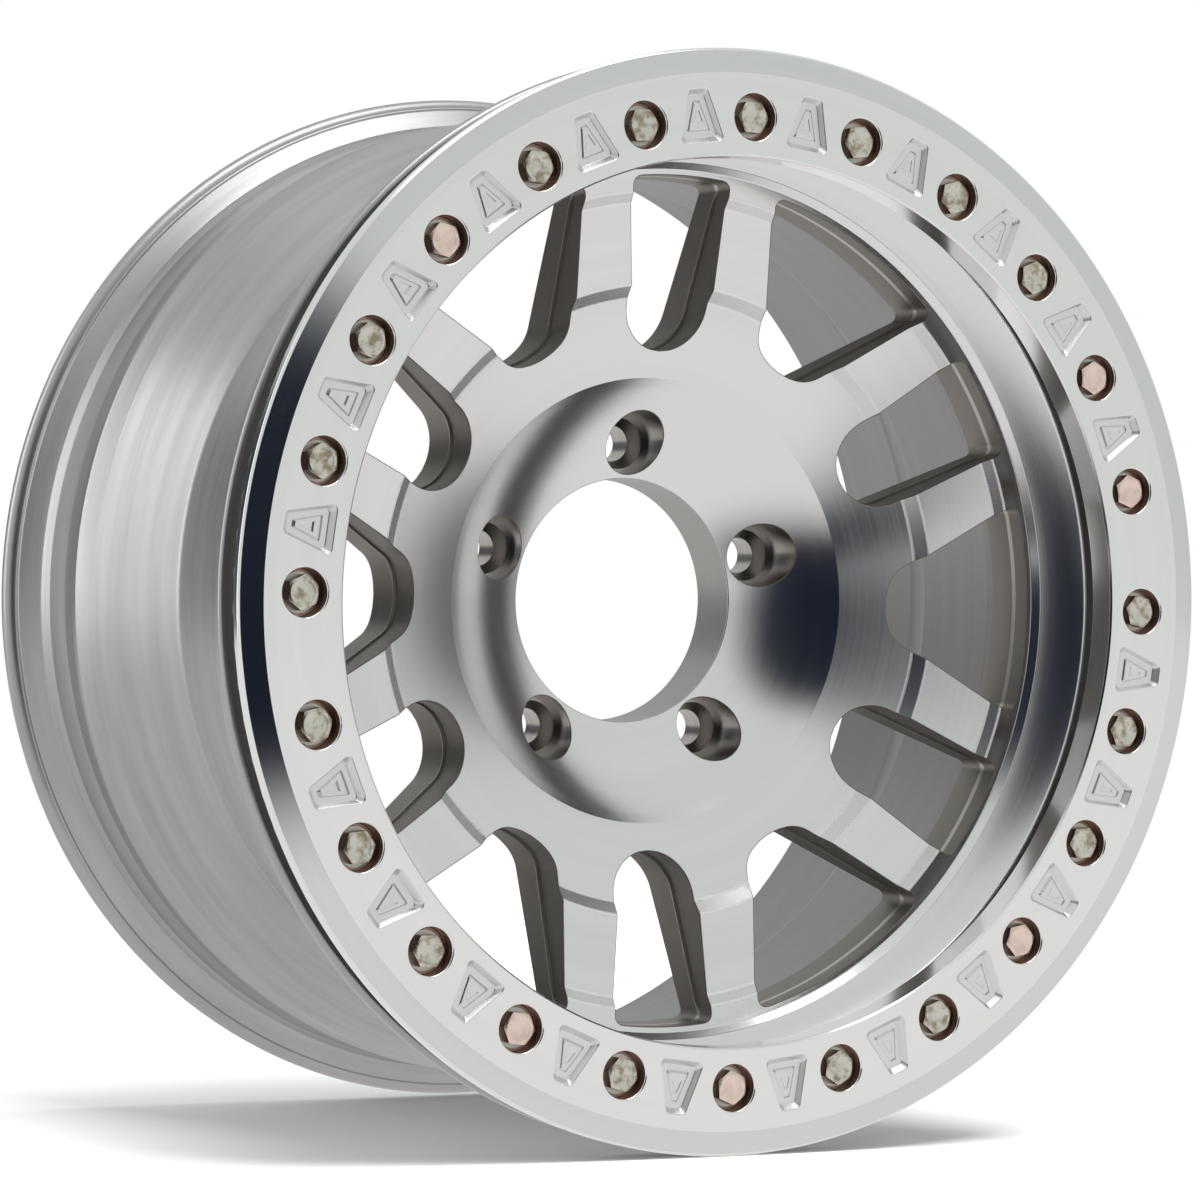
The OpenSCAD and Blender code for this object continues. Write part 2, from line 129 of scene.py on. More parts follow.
def smoothProfile(corners):
    # corners (r, depth, fillet) become points with normals; the metal lies on the right of the path
    def unit(v):
        return v / np.linalg.norm(v)
    spots = [np.array(c[:2], float) for c in corners]
    made = []
    for k, spot in enumerate(spots):
        fillet = corners[k][2]
        if k == 0 or k == len(spots) - 1:
            ahead = unit(spots[1] - spots[0]) if k == 0 else unit(spots[-1] - spots[-2])
            made.append((*spot, ahead[1], -ahead[0]))
            continue
        before, after = unit(spots[k - 1] - spot), unit(spots[k + 1] - spot)
        normalIn = np.array([-before[1], before[0]])
        normalOut = np.array([after[1], -after[0]])
        turn = math.acos(max(-1, min(1, float(normalIn @ normalOut))))
        if turn < math.radians(6):
            both = unit(normalIn + normalOut)
            made.append((*spot, *both))
            continue
        half = (math.pi - turn) / 2
        reach = fillet / math.tan(half)
        centre = spot + unit(before + after) * fillet / math.sin(half)
        sign = 1 if (spot + before * reach - centre) @ normalIn > 0 else -1
        steps = max(2, math.ceil(math.degrees(turn) / 18))
        for s in range(steps + 1):
            share = s / steps
            n = normalIn
            if turn < math.radians(178):
                n = math.sin((1 - share) * turn) * normalIn + math.sin(share * turn) * normalOut
                n = n / math.sin(turn)
            made.append((*(centre + sign * fillet * n), *n))
    return made


def wheelFront(s):
    # the front's points; the long faces are slightly hollow, so their normals lean further in
    points = smoothProfile(frontProfile(s))
    for low, high, lean in s["faceLeans"]:
        t = math.radians(lean)
        for k, (r, depth, *_) in enumerate(points):
            if low < r < high and depth < 90:
                points[k] = (r, depth, -math.sin(t), -math.cos(t))
    return points


class Height:
    # depth and normal of a turned face as a function of the radius
    def __init__(self, points):
        ordered = sorted(points)
        self.r = np.array([p[0] for p in ordered])
        self.rest = [np.array([p[k] for p in ordered]) for k in (1, 2, 3)]

    def at(self, r):
        depth, nr, nd = (float(np.interp(r, self.r, values)) for values in self.rest)
        size = math.hypot(nr, nd)
        return depth, nr / size, nd / size


# The wheel

wheelSizes = {
    "boreR": 54.0, "padR": 88.0, "dishR": 98.0, "dishEdgeIn": 81.6, "hubFrontIn": 105.4,
    "lugCircleR": 69.85, "lugWellR": 14.0, "lugSeatR": 11.5, "lugHoleR": 8.0, "lugSeatIn": 113.5,
    "lugSeatDeep": 6.06, "lugBackBevel": 0.4, "lugEdgeRound": 0.35,
    "padPocket": {"low": 60.85, "high": 78.85, "from": 20.0, "deep": 7.0, "draft": 0.8},
    "windowOuterR": 185.3, "windowCornerR": 4.0, "edgeRound": 0.45,
    "narrowTipR": 19.8, "narrowInnerR": 109.8, "narrowOuterHalf": 24.3,
    "wideTipR": 119.0, "wideArcR": 31.0, "wideCornerR": 14.0, "spokeSide": 48.0,
    "ribHeight": 1.1, "ribHalfWidth": 2.2, "ribFoot": (104.8, 98.3), "ribSlope": 0.3369, "ribFadeR": 181.5,
    "landR": 197.5, "landIn": 14.2, "backLip": (229.0, 256.7, 5.0), "rowGap": 0.18, "tipGap": 1.15,
    "valve": {"angle": 255.0, "tilt": 35.0, "footR": 190.8, "footIn": 47.0, "spotFace": (10.0, -19.0, 11.0),
              "bore": (5.75, 0.0, 30.0)},
    "lipLean": (28.0, 42.0), "lipRows": 9, "stepBands": ((132.9, 138.2), (173.9, 178.4)),
    "edgeLines": (132.75, 138.45, 173.75, 178.55), "edgeLineHalf": 0.95,
    "faceLeans": ((98.1, 132.7, 26.0), (138.6, 173.7, 24.0)),
    "hubBorderR": 104.0, "spokeColumns": 10, "narrowColumns": 5, "wideColumns": 6,
}


def dishPoints(s):
    centreIn = (s["dishR"] ** 2 + s["dishEdgeIn"] ** 2 - s["boreR"] ** 2 - s["hubFrontIn"] ** 2) \
        / (2 * (s["dishEdgeIn"] - s["hubFrontIn"]))
    ball = math.hypot(s["dishR"], s["dishEdgeIn"] - centreIn)
    radii = [57, 60, 64, 68, 72, 76, 80, 84, 88, 92, 95]
    return [(r, centreIn + math.sqrt(ball ** 2 - r ** 2)) for r in radii]


def frontProfile(s):
    corners = [(s["boreR"], mountDepth, 0), (s["boreR"], s["hubFrontIn"], 0.6)]
    corners += [(r, d, 0.1) for r, d in dishPoints(s)]
    corners += [
        (s["dishR"], s["dishEdgeIn"], 1.0), (132.8, 71.9, 3.2), (138.4, 67.3, 2.0), (173.8, 64.6, 2.6),
        (178.5, 61.6, 2.6), (187.8, 60.8, 0.9), (190.8, 57.8, 0.9), (196.8, 33.0, 0.8),
        (s["landR"], 31.0, 0.4), (s["landR"], s["landIn"], 0.5),
    ]
    return corners


def outsideProfile():
    return [
        (217.5, 14.2, 0.4), (217.5, 21.5, 0.6), (234.0, 21.5, 2.5), (234.0, 29.0, 2.5),
        (223.5, 31.0, 3.0), (216.5, 41.0, 4.0), (203.0, 59.0, 3.0), (196.0, 68.0, 6.0),
        (196.0, 148.0, 8.0), (216.0, 194.0, 3.0), (218.4, 203.0, 0.8), (219.6, 207.0, 1.0),
        (219.6, 210.0, 1.5), (218.0, 222.8, 1.0), (219.0, 237.6, 2.0), (220.8, 243.5, 1.5),
        (224.0, 246.5, 1.5), (229.0, 250.5, 1.5), (229.0, 256.7, 0.1),
    ]


def insideProfile(s):
    return [
        (221.0, 258.7, 2.0), (211.5, 247.5, 4.0), (211.5, 198.0, 6.0), (188.5, 151.0, 8.0),
        (188.5, 97.0, 6.0), (s["windowOuterR"], 87.0, 3.0), (122.0, 114.0, 3.0), (100.0, 122.0, 3.0),
        (93.0, 127.0, 3.0), (s["padR"], mountDepth, 1.0), (s["boreR"], mountDepth, 0.5),
        (s["boreR"], 120.0, 0.5),
    ]


def windowOutline(s, wide):
    # the half outline of a window, from its inner end to the middle of its outer wall:
    # (r, angle from the window's middle, nr, nt), the normal pointing into the metal
    outerR, cornerR = s["windowOuterR"], s["windowCornerR"]
    path = []

    def arc(cx, cz, r, start, end, step):
        count = max(2, math.ceil(abs(end - start) / step))
        for k in range(count + 1):
            t = math.radians(start + (end - start) * k / count)
            path.append((cx + r * math.sin(t), cz - r * math.cos(t), math.sin(t), -math.cos(t)))

    if wide:
        slope = 30.0
        apex = s["spokeSide"] / math.sin(math.radians(slope))
        along = np.array([math.sin(math.radians(slope)), math.cos(math.radians(slope))])
        out = np.array([along[1], -along[0]])
        centre = np.array([0, s["wideTipR"] + s["wideArcR"]])
        gap = (centre[1] - apex) * along[0] - s["wideCornerR"]
        back = math.sqrt((s["wideArcR"] - s["wideCornerR"]) ** 2 - gap ** 2)
        corner = centre + gap * out - back * along
        turned = math.degrees(math.atan2(corner[0], centre[1] - corner[1]))
        arc(0, centre[1], s["wideArcR"], 0, turned, 4)
        arc(corner[0], corner[1], s["wideCornerR"], turned, 90 - slope, 8)
        start = corner + s["wideCornerR"] * out
    else:
        tipZ = s["narrowInnerR"] + s["narrowTipR"]
        run = np.array([s["narrowOuterHalf"] - s["narrowTipR"], outerR - tipZ])
        along = run / np.linalg.norm(run)
        out = np.array([along[1], -along[0]])
        slope = math.degrees(math.atan2(along[0], along[1]))
        arc(0, tipZ, s["narrowTipR"], 0, 90 - slope, 7)
        start = np.array([0, tipZ]) + s["narrowTipR"] * out
    pulled = start - cornerR * out
    ahead = pulled @ along
    reach = math.sqrt(ahead ** 2 - pulled @ pulled + (outerR - cornerR) ** 2) - ahead
    corner = pulled + along * reach
    count = math.ceil(reach / 6)
    for k in range(1, count):
        spot = start + along * reach * k / count
        path.append((*spot, *out))
    swing = math.degrees(math.atan2(corner[0], corner[1]))
    arc(corner[0], corner[1], cornerR, 90 - slope, 180 - swing, 15)
    made = []
    for x, z, nx, nz in path:
        a = math.atan2(x, z)
        made.append((math.hypot(x, z), math.degrees(a), nx * math.sin(a) + nz * math.cos(a),
                     nx * math.cos(a) - nz * math.sin(a)))
    clean = [made[0]]
    for m in made[1:]:
        if m[0] > clean[-1][0] + 1e-6:
            clean.append(m)
    return clean


def buildSpokes(s):
    surface = startSurface(wheelZones)
    front = wheelFront(s)
    frontFace = Height([p for p in front if 55 < p[0] < 196.0 and p[1] < 104.9 and p[1] > 45])
    inside = smoothProfile(insideProfile(s))
    backFace = Height([p for p in inside if 94 < p[0] <= 189 and p[1] < 150])
    narrow, wide = windowOutline(s, False), windowOutline(s, True)
    fine = {}
    for name, outline in (("narrow", narrow), ("wide", wide)):
        fine[name] = [np.array(column) for column in zip(*outline)]
    outerR, border = s["windowOuterR"], s["hubBorderR"]
    # the radii of the rows: both outlines' points and the creases of both faces
    wanted = [border, outerR, s["narrowInnerR"], s["wideTipR"], s["narrowInnerR"] - 1.2]
    creases = [float(p[0]) for p in front if border + 1 < p[0] < outerR and p[1] < 90]
    keep = sorted(set(wanted + creases))
    extra = [m[0] for m in narrow + wide]
    extra += [float(p[0]) for p in inside if border + 1 < p[0] < outerR and p[1] < 150]

    def nearTip(r):
        return any(tip - s["tipGap"] < r < tip for tip in (s["narrowInnerR"], s["wideTipR"]))
    for r in sorted(extra):
        if min(abs(r - k) for k in keep) > s["rowGap"] and not nearTip(r):
            keep.append(r)
    rows = sorted(r for r in keep if not nearTip(r))

    def sideAt(name, r):
        # angle from the sector's start, and the normal, of a window's side at a radius
        table = fine[name]
        first = s["narrowInnerR"] if name == "narrow" else s["wideTipR"]
        if r < first - 1e-6:
            return None
        angle, nr, nt = (float(np.interp(r, table[0], table[k])) for k in (1, 2, 3))
        # close to the inner end the angle grows with the root of the radius
        if r < table[0][1]:
            angle = table[1][1] * math.sqrt(max(r - table[0][0], 0) / (table[0][1] - table[0][0]))
        size = math.hypot(nr, nt)
        nr, nt = nr / size, nt / size
        return (angle, nr, nt) if name == "narrow" else (30 - angle, nr, -nt)

    e = s["edgeRound"]
    for face, zone in ((frontFace, "machined"), (backFace, "back")):
        grid = []
        for r in rows:
            low, high = sideAt("narrow", r), sideAt("wide", r)
            lowEnd = (r, 0.0) if low is None else moveIn(r, low, e)
            highEnd = (r, 30.0) if high is None else moveIn(r, high, e)
            row = []
            for j in range(s["spokeColumns"] + 1):
                share = j / s["spokeColumns"]
                angle = lowEnd[1] + (highEnd[1] - lowEnd[1]) * share
                here = lowEnd[0] if j == 0 else highEnd[0] if j == s["spokeColumns"] else r
                depth, nr, nd = face.at(here)
                row.append((here, angle, depth, nr, 0.0, nd))
            grid.append(row)
        addBothHalves(surface, grid, zone)

    def wallRows(r, side):
        # the corners of a window's wall, from the front face to the back face
        angle, nr, nt = side
        made = []
        for phi in (0, 30, 60, 90):
            c, q = math.cos(math.radians(phi)), math.sin(math.radians(phi))
            rr, aa = moveIn(r, side, e * (1 - q))
            depth, fr, fd = frontFace.at(rr)
            made.append((rr, aa, depth + e * (1 - c), c * fr - q * nr, -q * nt, c * fd))
        startIn, endIn = made[-1][2], backFace.at(r)[0] - e
        ribIn = s["ribFoot"][1] - (r - s["ribFoot"][0]) * s["ribSlope"]
        w = s["ribHalfWidth"]
        h = s["ribHeight"] * min(1, max(0, (s["ribFadeR"] - r) / 4))
        made.append((r, angle, (startIn + ribIn - w) / 2, -nr, -nt, 0))
        for t in (-1, -0.66, -0.33, 0, 0.33, 0.66, 1):
            lift = h * 0.5 * (1 + math.cos(math.pi * t))
            slope = -h * 0.5 * math.pi / w * math.sin(math.pi * t)
            rr, aa = moveIn(r, side, -lift)
            size = math.hypot(1, slope)
            made.append((rr, aa, ribIn + t * w, -nr / size, -nt / size, -slope / size))
        made.append((r, angle, (endIn + ribIn + w) / 2, -nr, -nt, 0))
        for phi in (90, 60, 30, 0):
            c, q = math.cos(math.radians(phi)), math.sin(math.radians(phi))
            rr, aa = moveIn(r, side, e * (1 - q))
            depth, fr, fd = backFace.at(rr)
            made.append((rr, aa, depth - e * (1 - c), c * fr - q * nr, -q * nt, c * fd))
        return made

    ends = {}
    for name, stop, count in (("narrow", 0.0, s["narrowColumns"]), ("wide", 30.0, s["wideColumns"])):
        grid = []
        for r in rows:
            side = sideAt(name, r)
            if side:
                grid.append(wallRows(r, side))
        last = sideAt(name, outerR)[0]
        ends[name] = [last + (stop - last) * k / count for k in range(count + 1)]
        outerWall = [wallRows(outerR, (angle, 1.0, 0.0)) for angle in ends[name]]
        # a raised line runs along the middle of the walls, painted lighter than them as a painted highlight
        # of its lit side
        for rowsHere, zone in ((grid, "windowWall"), (outerWall, "outerWall")):
            addBothHalves(surface, [row[:7] for row in rowsHere], zone)
            addBothHalves(surface, [row[6:11] for row in rowsHere], "rib")
            addBothHalves(surface, [row[10:] for row in rowsHere], zone)

    # everything outside the windows: lip, flanges, barrel and well
    lowEnd, highEnd = (moveIn(outerR, sideAt(n, outerR), e) for n in ("narrow", "wide"))
    columns = [(a, outerR + e) for a in reversed(ends["narrow"])]
    for j in range(1, s["spokeColumns"]):
        columns.append((lowEnd[1] + (highEnd[1] - lowEnd[1]) * j / s["spokeColumns"], outerR))
    columns += [(a, outerR + e) for a in ends["wide"]]
    outer = [p for p in front if p[0] > outerR + 1 and p[1] < 62]
    outside = smoothProfile([(s["landR"], s["landIn"], 0)] + outsideProfile())[1:-1]
    lip = []
    lipR, lipIn, lipRound = s["backLip"]
    for k in range(13):
        t = math.radians(-90 + 180 * k / 12)
        nr, nd = math.cos(t), math.sin(t)
        lip.append((lipR + lipRound * nr, lipIn + lipRound * nd, nr, nd))
    # both cuts drop the land's inner corner, so the wall leans straight out to the land's edge
    loop = outer[:-1] + outside + lip[1:] + [(224.5, 261.7, 0.0, 1.0)]
    inner = smoothProfile([(226.0, 261.7, 0), (223.0, 261.0, 1.0)] + insideProfile(s))
    inner = [p for p in inner if p[0] > outerR + 1 and p[1] > 88.0]
    loop += inner[1:]
    first = [(r, a, *spread(frontFace.at(r))) for a, r in columns]
    final = [(r, a, *spread(backFace.at(r))) for a, r in columns]
    lipAt = 1 + next(k for k, p in enumerate(loop) if p[0] > 189)
    start = next(k for k, p in enumerate(loop) if p[0] > 190.8 and p[1] < 57.7)
    end = next(k for k, p in enumerate(loop) if p[1] < 34)
    foot, top = loop[start], loop[end]
    hollow = []
    for share in np.linspace(0, 1, s["lipRows"]):
        t = math.radians(s["lipLean"][0] + (s["lipLean"][1] - s["lipLean"][0]) * share)
        hollow.append((foot[0] + (top[0] - foot[0]) * share, foot[1] + (top[1] - foot[1]) * share,
                       -math.sin(t), -math.cos(t)))
    loop[start:end + 1] = hollow
    added = len(hollow) - (end + 1 - start)
    grid = [first] + [[(float(p[0]), a, float(p[1]), float(p[2]), 0.0, float(p[3])) for a, _ in columns]
                      for p in loop] + [final]
    lipEnd = len(outer) + added - 1
    turnAt = lipEnd + len(outside) + len(lip) - 1
    for low, high, zone in ((0, lipAt, "machined"), (lipAt, lipEnd, "lip"), (lipEnd, turnAt, "barrel"),
                            (turnAt, len(grid) - 1, "inside")):
        addBothHalves(surface, grid[low:high + 1], zone)
    # the two small steps across the spokes are rougher than the faces beside them and painted a little
    # darker, as painted shade; their edge lines are painted near white, as painted highlights
    for middle in s["edgeLines"]:
        changeZone(surface, "machined", middle - s["edgeLineHalf"], middle + s["edgeLineHalf"], "edgeLine")
    for low, high in s["stepBands"]:
        changeZone(surface, "machined", low, high, "step")
    return surface


def spread(found):
    depth, nr, nd = found
    return depth, nr, 0.0, nd


def moveIn(r, side, out):
    angle, nr, nt = side
    x, t = r + out * nr, out * nt
    return math.hypot(x, t), angle + math.degrees(math.atan2(t, x))


def cutValveHole(obj, v):
    # a spot face and a bore, cut out and back from the foot of the lip
    a, tilt = math.radians(v["angle"]), math.radians(v["tilt"])
    radial = Vector((math.sin(a), 0, math.cos(a)))
    axis = radial * math.cos(tilt) + Vector((0, math.sin(tilt), 0))
    start = radial * (v["footR"] / 1000) + Vector((0, (v["footIn"] - mountDepth) / 1000, 0))
    for cutSizes in (v["spotFace"], v["bore"]):
        r, near, far = (size / 1000 for size in cutSizes)
        bpy.ops.mesh.primitive_cylinder_add(vertices=48, radius=r, depth=far - near,
                                            location=start + axis * (near + far) / 2)
        cutter = bpy.context.active_object
        cutter.rotation_mode = "QUATERNION"
        cutter.rotation_quaternion = axis.to_track_quat("Z", "Y")
        cut = obj.modifiers.new("valve", "BOOLEAN")
        cut.operation, cut.solver, cut.object = "DIFFERENCE", "EXACT", cutter
        bpy.context.view_layer.update()
        graph = bpy.context.evaluated_depsgraph_get()
        mesh = bpy.data.meshes.new_from_object(obj.evaluated_get(graph), depsgraph=graph)
        obj.modifiers.remove(cut)
        obj.data = mesh
        bpy.data.objects.remove(cutter, do_unlink=True)
    print("valve hole cut:", len(obj.data.polygons), "faces")


def buildHub(s):
    surface = startSurface(wheelZones)
    front = wheelFront(s)
    inside = smoothProfile(insideProfile(s))
    frontFace = Height([p for p in front if p[0] < 135 and p[1] < 107])
    border, lugR, columns = s["hubBorderR"], s["lugCircleR"], 12

    def holeSide(r, holeR):
        cosine = (r * r + lugR * lugR - holeR * holeR) / (2 * r * lugR)
        if abs(r - lugR) > holeR + 1e-9:
            return None
        angle = math.degrees(math.acos(max(-1, min(1, cosine))))
        a = math.radians(angle)
        nx, nz = r * math.sin(a) / holeR, (r * math.cos(a) - lugR) / holeR
        return angle, nx * math.sin(a) + nz * math.cos(a), nx * math.cos(a) - nz * math.sin(a)

    around = [180 * k / 20 for k in range(21)]

    def circleRadii(holeR):
        return [math.sqrt(lugR ** 2 + holeR ** 2 - 2 * lugR * holeR * math.cos(math.radians(f)))
                for f in around]

    e = s["lugEdgeRound"]
    # front: dish with the sockets' mouths
    wells = circleRadii(s["lugWellR"])
    rim = [float(p[0]) for p in front[2:] if p[0] < 55.4 or 84.6 < p[0] < border]
    rows = sorted(wells + [s["boreR"], border] + rim)
    grid = []
    for r in rows:
        side = holeSide(r, s["lugWellR"])
        row = []
        for j in range(columns + 1):
            start = (r, 0.0) if side is None else moveIn(r, side, e)
            angle = start[1] + (36 - start[1]) * j / columns
            here = start[0] if j == 0 else r
            depth, nr, nd = frontFace.at(here)
            row.append((here, angle, depth, nr, 0.0, nd))
        grid.append(row)
    addBothHalves(surface, grid, "machined")
    # one socket: well, shoulder, seat and stud hole
    bevel = s["lugBackBevel"]
    steps = [(s["lugWellR"], s["lugSeatIn"]), (s["lugSeatR"], s["lugSeatIn"]),
             (s["lugHoleR"], s["lugSeatIn"] + s["lugSeatDeep"]), (s["lugHoleR"], mountDepth - bevel),
             (s["lugHoleR"] + bevel, mountDepth)]
    lines = [[] for _ in range(len(steps) + 3)]
    for f in around:
        t = math.radians(f)
        n = (math.sin(t), -math.cos(t))

        def spot(holeR, depth, slope):
            x, z = holeR * n[0], lugR + holeR * n[1]
            a = math.atan2(x, z)
            r = math.hypot(x, z)
            nr = n[0] * math.sin(a) + n[1] * math.cos(a)
            nt = n[0] * math.cos(a) - n[1] * math.sin(a)
            c, q = math.cos(math.radians(slope)), math.sin(math.radians(slope))
            return (r, math.degrees(a), depth if depth else frontFace.at(r)[0], -nr * c, -nt * c, -q)
        mouth = spot(s["lugWellR"] + e, None, 90)
        deepEnd = spot(s["lugWellR"], None, 0)
        _, nr, nd = frontFace.at(mouth[0])
        lines[0].append((*mouth[:3], nr, 0.0, nd))
        middle = spot(s["lugWellR"] + e * 0.3, None, 45)
        lines[1].append((*middle[:2], middle[2] + e * 0.3, *middle[3:]))
        lines[2].append((*deepEnd[:2], deepEnd[2] + e, *deepEnd[3:]))
        for k, (holeR, depth) in enumerate(steps):
            lines[3 + k].append(spot(holeR, depth, 0))
    addBothHalves(surface, lines[:3], "windowWall")
    addBothHalves(surface, lines[2:4], "socket")
    for k, slope in ((3, 90), (4, 30), (5, 0), (6, -45)):
        pair = [[(c[0], c[1], c[2], *leanNormal(c, slope)) for c in lines[k + d]] for d in (0, 1)]
        addBothHalves(surface, pair, "socket")
    # back: mounting pad with its shallow pockets, then out to the border
    pocket = s["padPocket"]
    small = circleRadii(s["lugHoleR"] + bevel)
    backCreases = [float(p[0]) for p in inside if p[1] > 119 and 86 < p[0] < border]
    foot = [min(small, key=lambda r: abs(r - edge)) for edge in
            (pocket["low"] + pocket["draft"], pocket["high"] - pocket["draft"])]
    rows = sorted(small + foot + [54.5, pocket["low"], pocket["high"], border] + backCreases)
    rows = [r for k, r in enumerate(rows) if k == 0 or r - rows[k - 1] > 1e-4]
    backFace = Height([(s["boreR"], mountDepth, 0, 1), (87.0, mountDepth, 0, 1)]
                      + [p for p in inside if p[1] > 112 and 87 < p[0] < 130])
    grid = []
    for r in rows:
        side = holeSide(r, s["lugHoleR"] + bevel)
        start = 0.0 if side is None else side[0]
        mix = min(1, max(0, (r - 90) / 10)) if r > 80 else min(1, max(0, (58 - r) / 3))
        row = []
        for j in range(columns + 1):
            uniform = start + (36 - start) * j / columns
            if j <= 6:
                fitted = start + (pocket["from"] - start) * j / 6
            else:
                fitted = pocket["from"] + 1.0 + (36 - pocket["from"] - 1.0) * (j - 7) / 5
            angle = uniform * mix + fitted * (1 - mix)
            depth, nr, nd = backFace.at(r)
            if j >= 7 and pocket["low"] + 0.4 < r < pocket["high"] - 0.4:
                depth -= pocket["deep"]
            row.append((r, angle, depth, nr, 0.0, nd))
        grid.append(row)
    split = next(k for k, r in enumerate(rows) if r > 86)
    addBothHalves(surface, grid[:split + 1], "back", flat=True)
    addBothHalves(surface, grid[split:], "back")
    # the bore
    boreR, boreEnd = s["boreR"], mountDepth - 0.5
    wall = ((boreR, frontFace.at(boreR)[0], -1.0, 0.0), (boreR, boreEnd, -1.0, 0.0))
    backBevel = ((boreR, boreEnd, -0.7, 0.7), (boreR + 0.5, mountDepth, -0.7, 0.7))
    around = [36 / columns * j for j in range(columns + 1)]
    for pair in (wall, backBevel):
        rows = [[(r, a, d, nr, 0.0, nd) for a in around] for r, d, nr, nd in pair]
        addBothHalves(surface, rows, "bore")
    return surface


def leanNormal(c, slope):
    k, q = math.cos(math.radians(slope)), math.sin(math.radians(slope))
    size = math.hypot(c[3], c[4]) or 1
    return (c[3] / size * k, c[4] / size * k, -q)


def placeCorner(x, z, depth, nx, nz, nd):
    # a corner given sideways and outward instead of by radius and angle
    a = math.atan2(x, z)
    return (math.hypot(x, z), math.degrees(a), depth, nx * math.sin(a) + nz * math.cos(a),
            nx * math.cos(a) - nz * math.sin(a), nd)


# The ring: 24 sectors with a bolt's hole, 22 with a pocket and 2 plain ones between the bolts

ringSizes = {
    "innerR": 189.0, "chamfer": 0.8, "bevelR": 224.4, "bevelDrop": 1.6, "bevelLean": 25.0,
    "outerR": 235.0, "lipThick": 6.3, "thick": 14.2, "stepR": 217.2,
    "boltR": 206.0, "boltHalfAngle": 3.6, "sectorInR": 193.0, "sectorOutR": 219.5, "sideSteps": 12,
    "boreR": 10.0, "boreChamfer": 0.6, "boreDeep": 8.1,
    "pocketMidR": 206.5, "pocketHalfH": 11.5, "pocketHalfIn": 10.25, "pocketHalfOut": 5.1,
    "pocketCorner": 2.2, "pocketDeep": 3.0, "floorScale": 0.78, "formH": 0.38, "formHalfW": 5.4,
    "formHalfTop": 0.9, "formHalfH": 6.6, "formCorner": 0.7, "formTop": 0.42,
    "toothW": 8.6, "toothH": 3.3, "toothInR": 226.0, "toothOutR": 234.0, "toothCount": 96,
}


def sectorBorder(s, halfAngle):
    # the loop round a sector's front, from its inner left corner, as (x, z)
    n, r0, r1 = s["sideSteps"], s["sectorInR"], s["sectorOutR"]
    polar = [(r0, -halfAngle + 2 * halfAngle * k / n) for k in range(n)]
    polar += [(r0 + (r1 - r0) * k / n, halfAngle) for k in range(n)]
    polar += [(r1, halfAngle - 2 * halfAngle * k / n) for k in range(n)]
    polar += [(r1 - (r1 - r0) * k / n, -halfAngle) for k in range(n)]
    return [(r * math.sin(math.radians(a)), r * math.cos(math.radians(a))) for r, a in polar]


def roundedOutline(corners, radius, n):
    # a closed outline of 4n points with round corners, from the arcs' centres (x, z), bottom left first
    arcSteps = n // 2
    normals = []
    for k in range(len(corners)):
        (x0, z0), (x1, z1) = corners[k], corners[(k + 1) % len(corners)]
        normals.append(math.atan2(-(x1 - x0), z1 - z0))
    made = []
    for k, (cx, cz) in enumerate(corners):
        start, end = normals[k - 1], normals[k]
        while end < start:
            end += 2 * math.pi
        arc = [start + (end - start) * j / arcSteps for j in range(arcSteps + 1)]
        points = [(cx + radius * math.cos(t), cz + radius * math.sin(t)) for t in arc]
        nx, nz = corners[(k + 1) % len(corners)]
        ahead = (nx + radius * math.cos(end), nz + radius * math.sin(end))
        made += points
        straight = 4 * n // len(corners) - arcSteps
        made += [tuple(np.array(points[-1]) * (1 - j / straight) + np.array(ahead) * j / straight)
                 for j in range(1, straight)]
    shift = arcSteps // 2
    return made[shift:] + made[:shift]


def loopRows(loops):
    # loops of (x, z, depth) with the direction of the profile there, (inward share, downward share)
    rows = []
    for k, (points, depth, lean) in enumerate(loops):
        count = len(points)
        middle = np.mean(np.array(points), axis=0)
        row = []
        for j, (x, z) in enumerate(points):
            before, after = np.array(points[j - 1]), np.array(points[(j + 1) % count])
            along = after - before
            size = np.linalg.norm(along)
            inward = np.array([-along[1], along[0]]) / size if size > 1e-9 else np.zeros(2)
            if inward @ (middle - np.array([x, z])) < 0:
                inward = -inward
            slope = math.radians(lean)
            row.append(placeCorner(x, z, depth, *(inward * math.sin(slope)), -math.cos(slope)))
        rows.append(row + row[:1])
    return rows


def sectorBack(s, angles):
    # the rest of a sector: outer front, bevel, edge, back and inner wall
    corners = [
        (s["sectorOutR"], 0, 0), (s["bevelR"], 0, 1.2), (s["outerR"] - 1.0, s["bevelDrop"], 0.9),
        (s["outerR"], s["bevelDrop"] + 1.2, 0.8), (s["outerR"], s["lipThick"], 0.3),
        (s["stepR"], s["lipThick"], 0.3), (s["stepR"], s["thick"], 0.3), (s["innerR"], s["thick"], 0.5),
        (s["innerR"], s["chamfer"], 0.25), (s["innerR"] + s["chamfer"], 0, 0.25), (s["sectorInR"], 0, 0),
    ]
    points = smoothProfile(corners)
    lean = math.radians(s["bevelLean"])
    for k, (r, depth, *_) in enumerate(points):
        if s["bevelR"] < r < s["outerR"] - 1.0 and 0.01 < depth < s["bevelDrop"]:
            points[k] = (r, depth, math.sin(lean), -math.cos(lean))
    return [[(float(p[0]), a, float(p[1]), float(p[2]), 0.0, float(p[3])) for a in angles] for p in points]


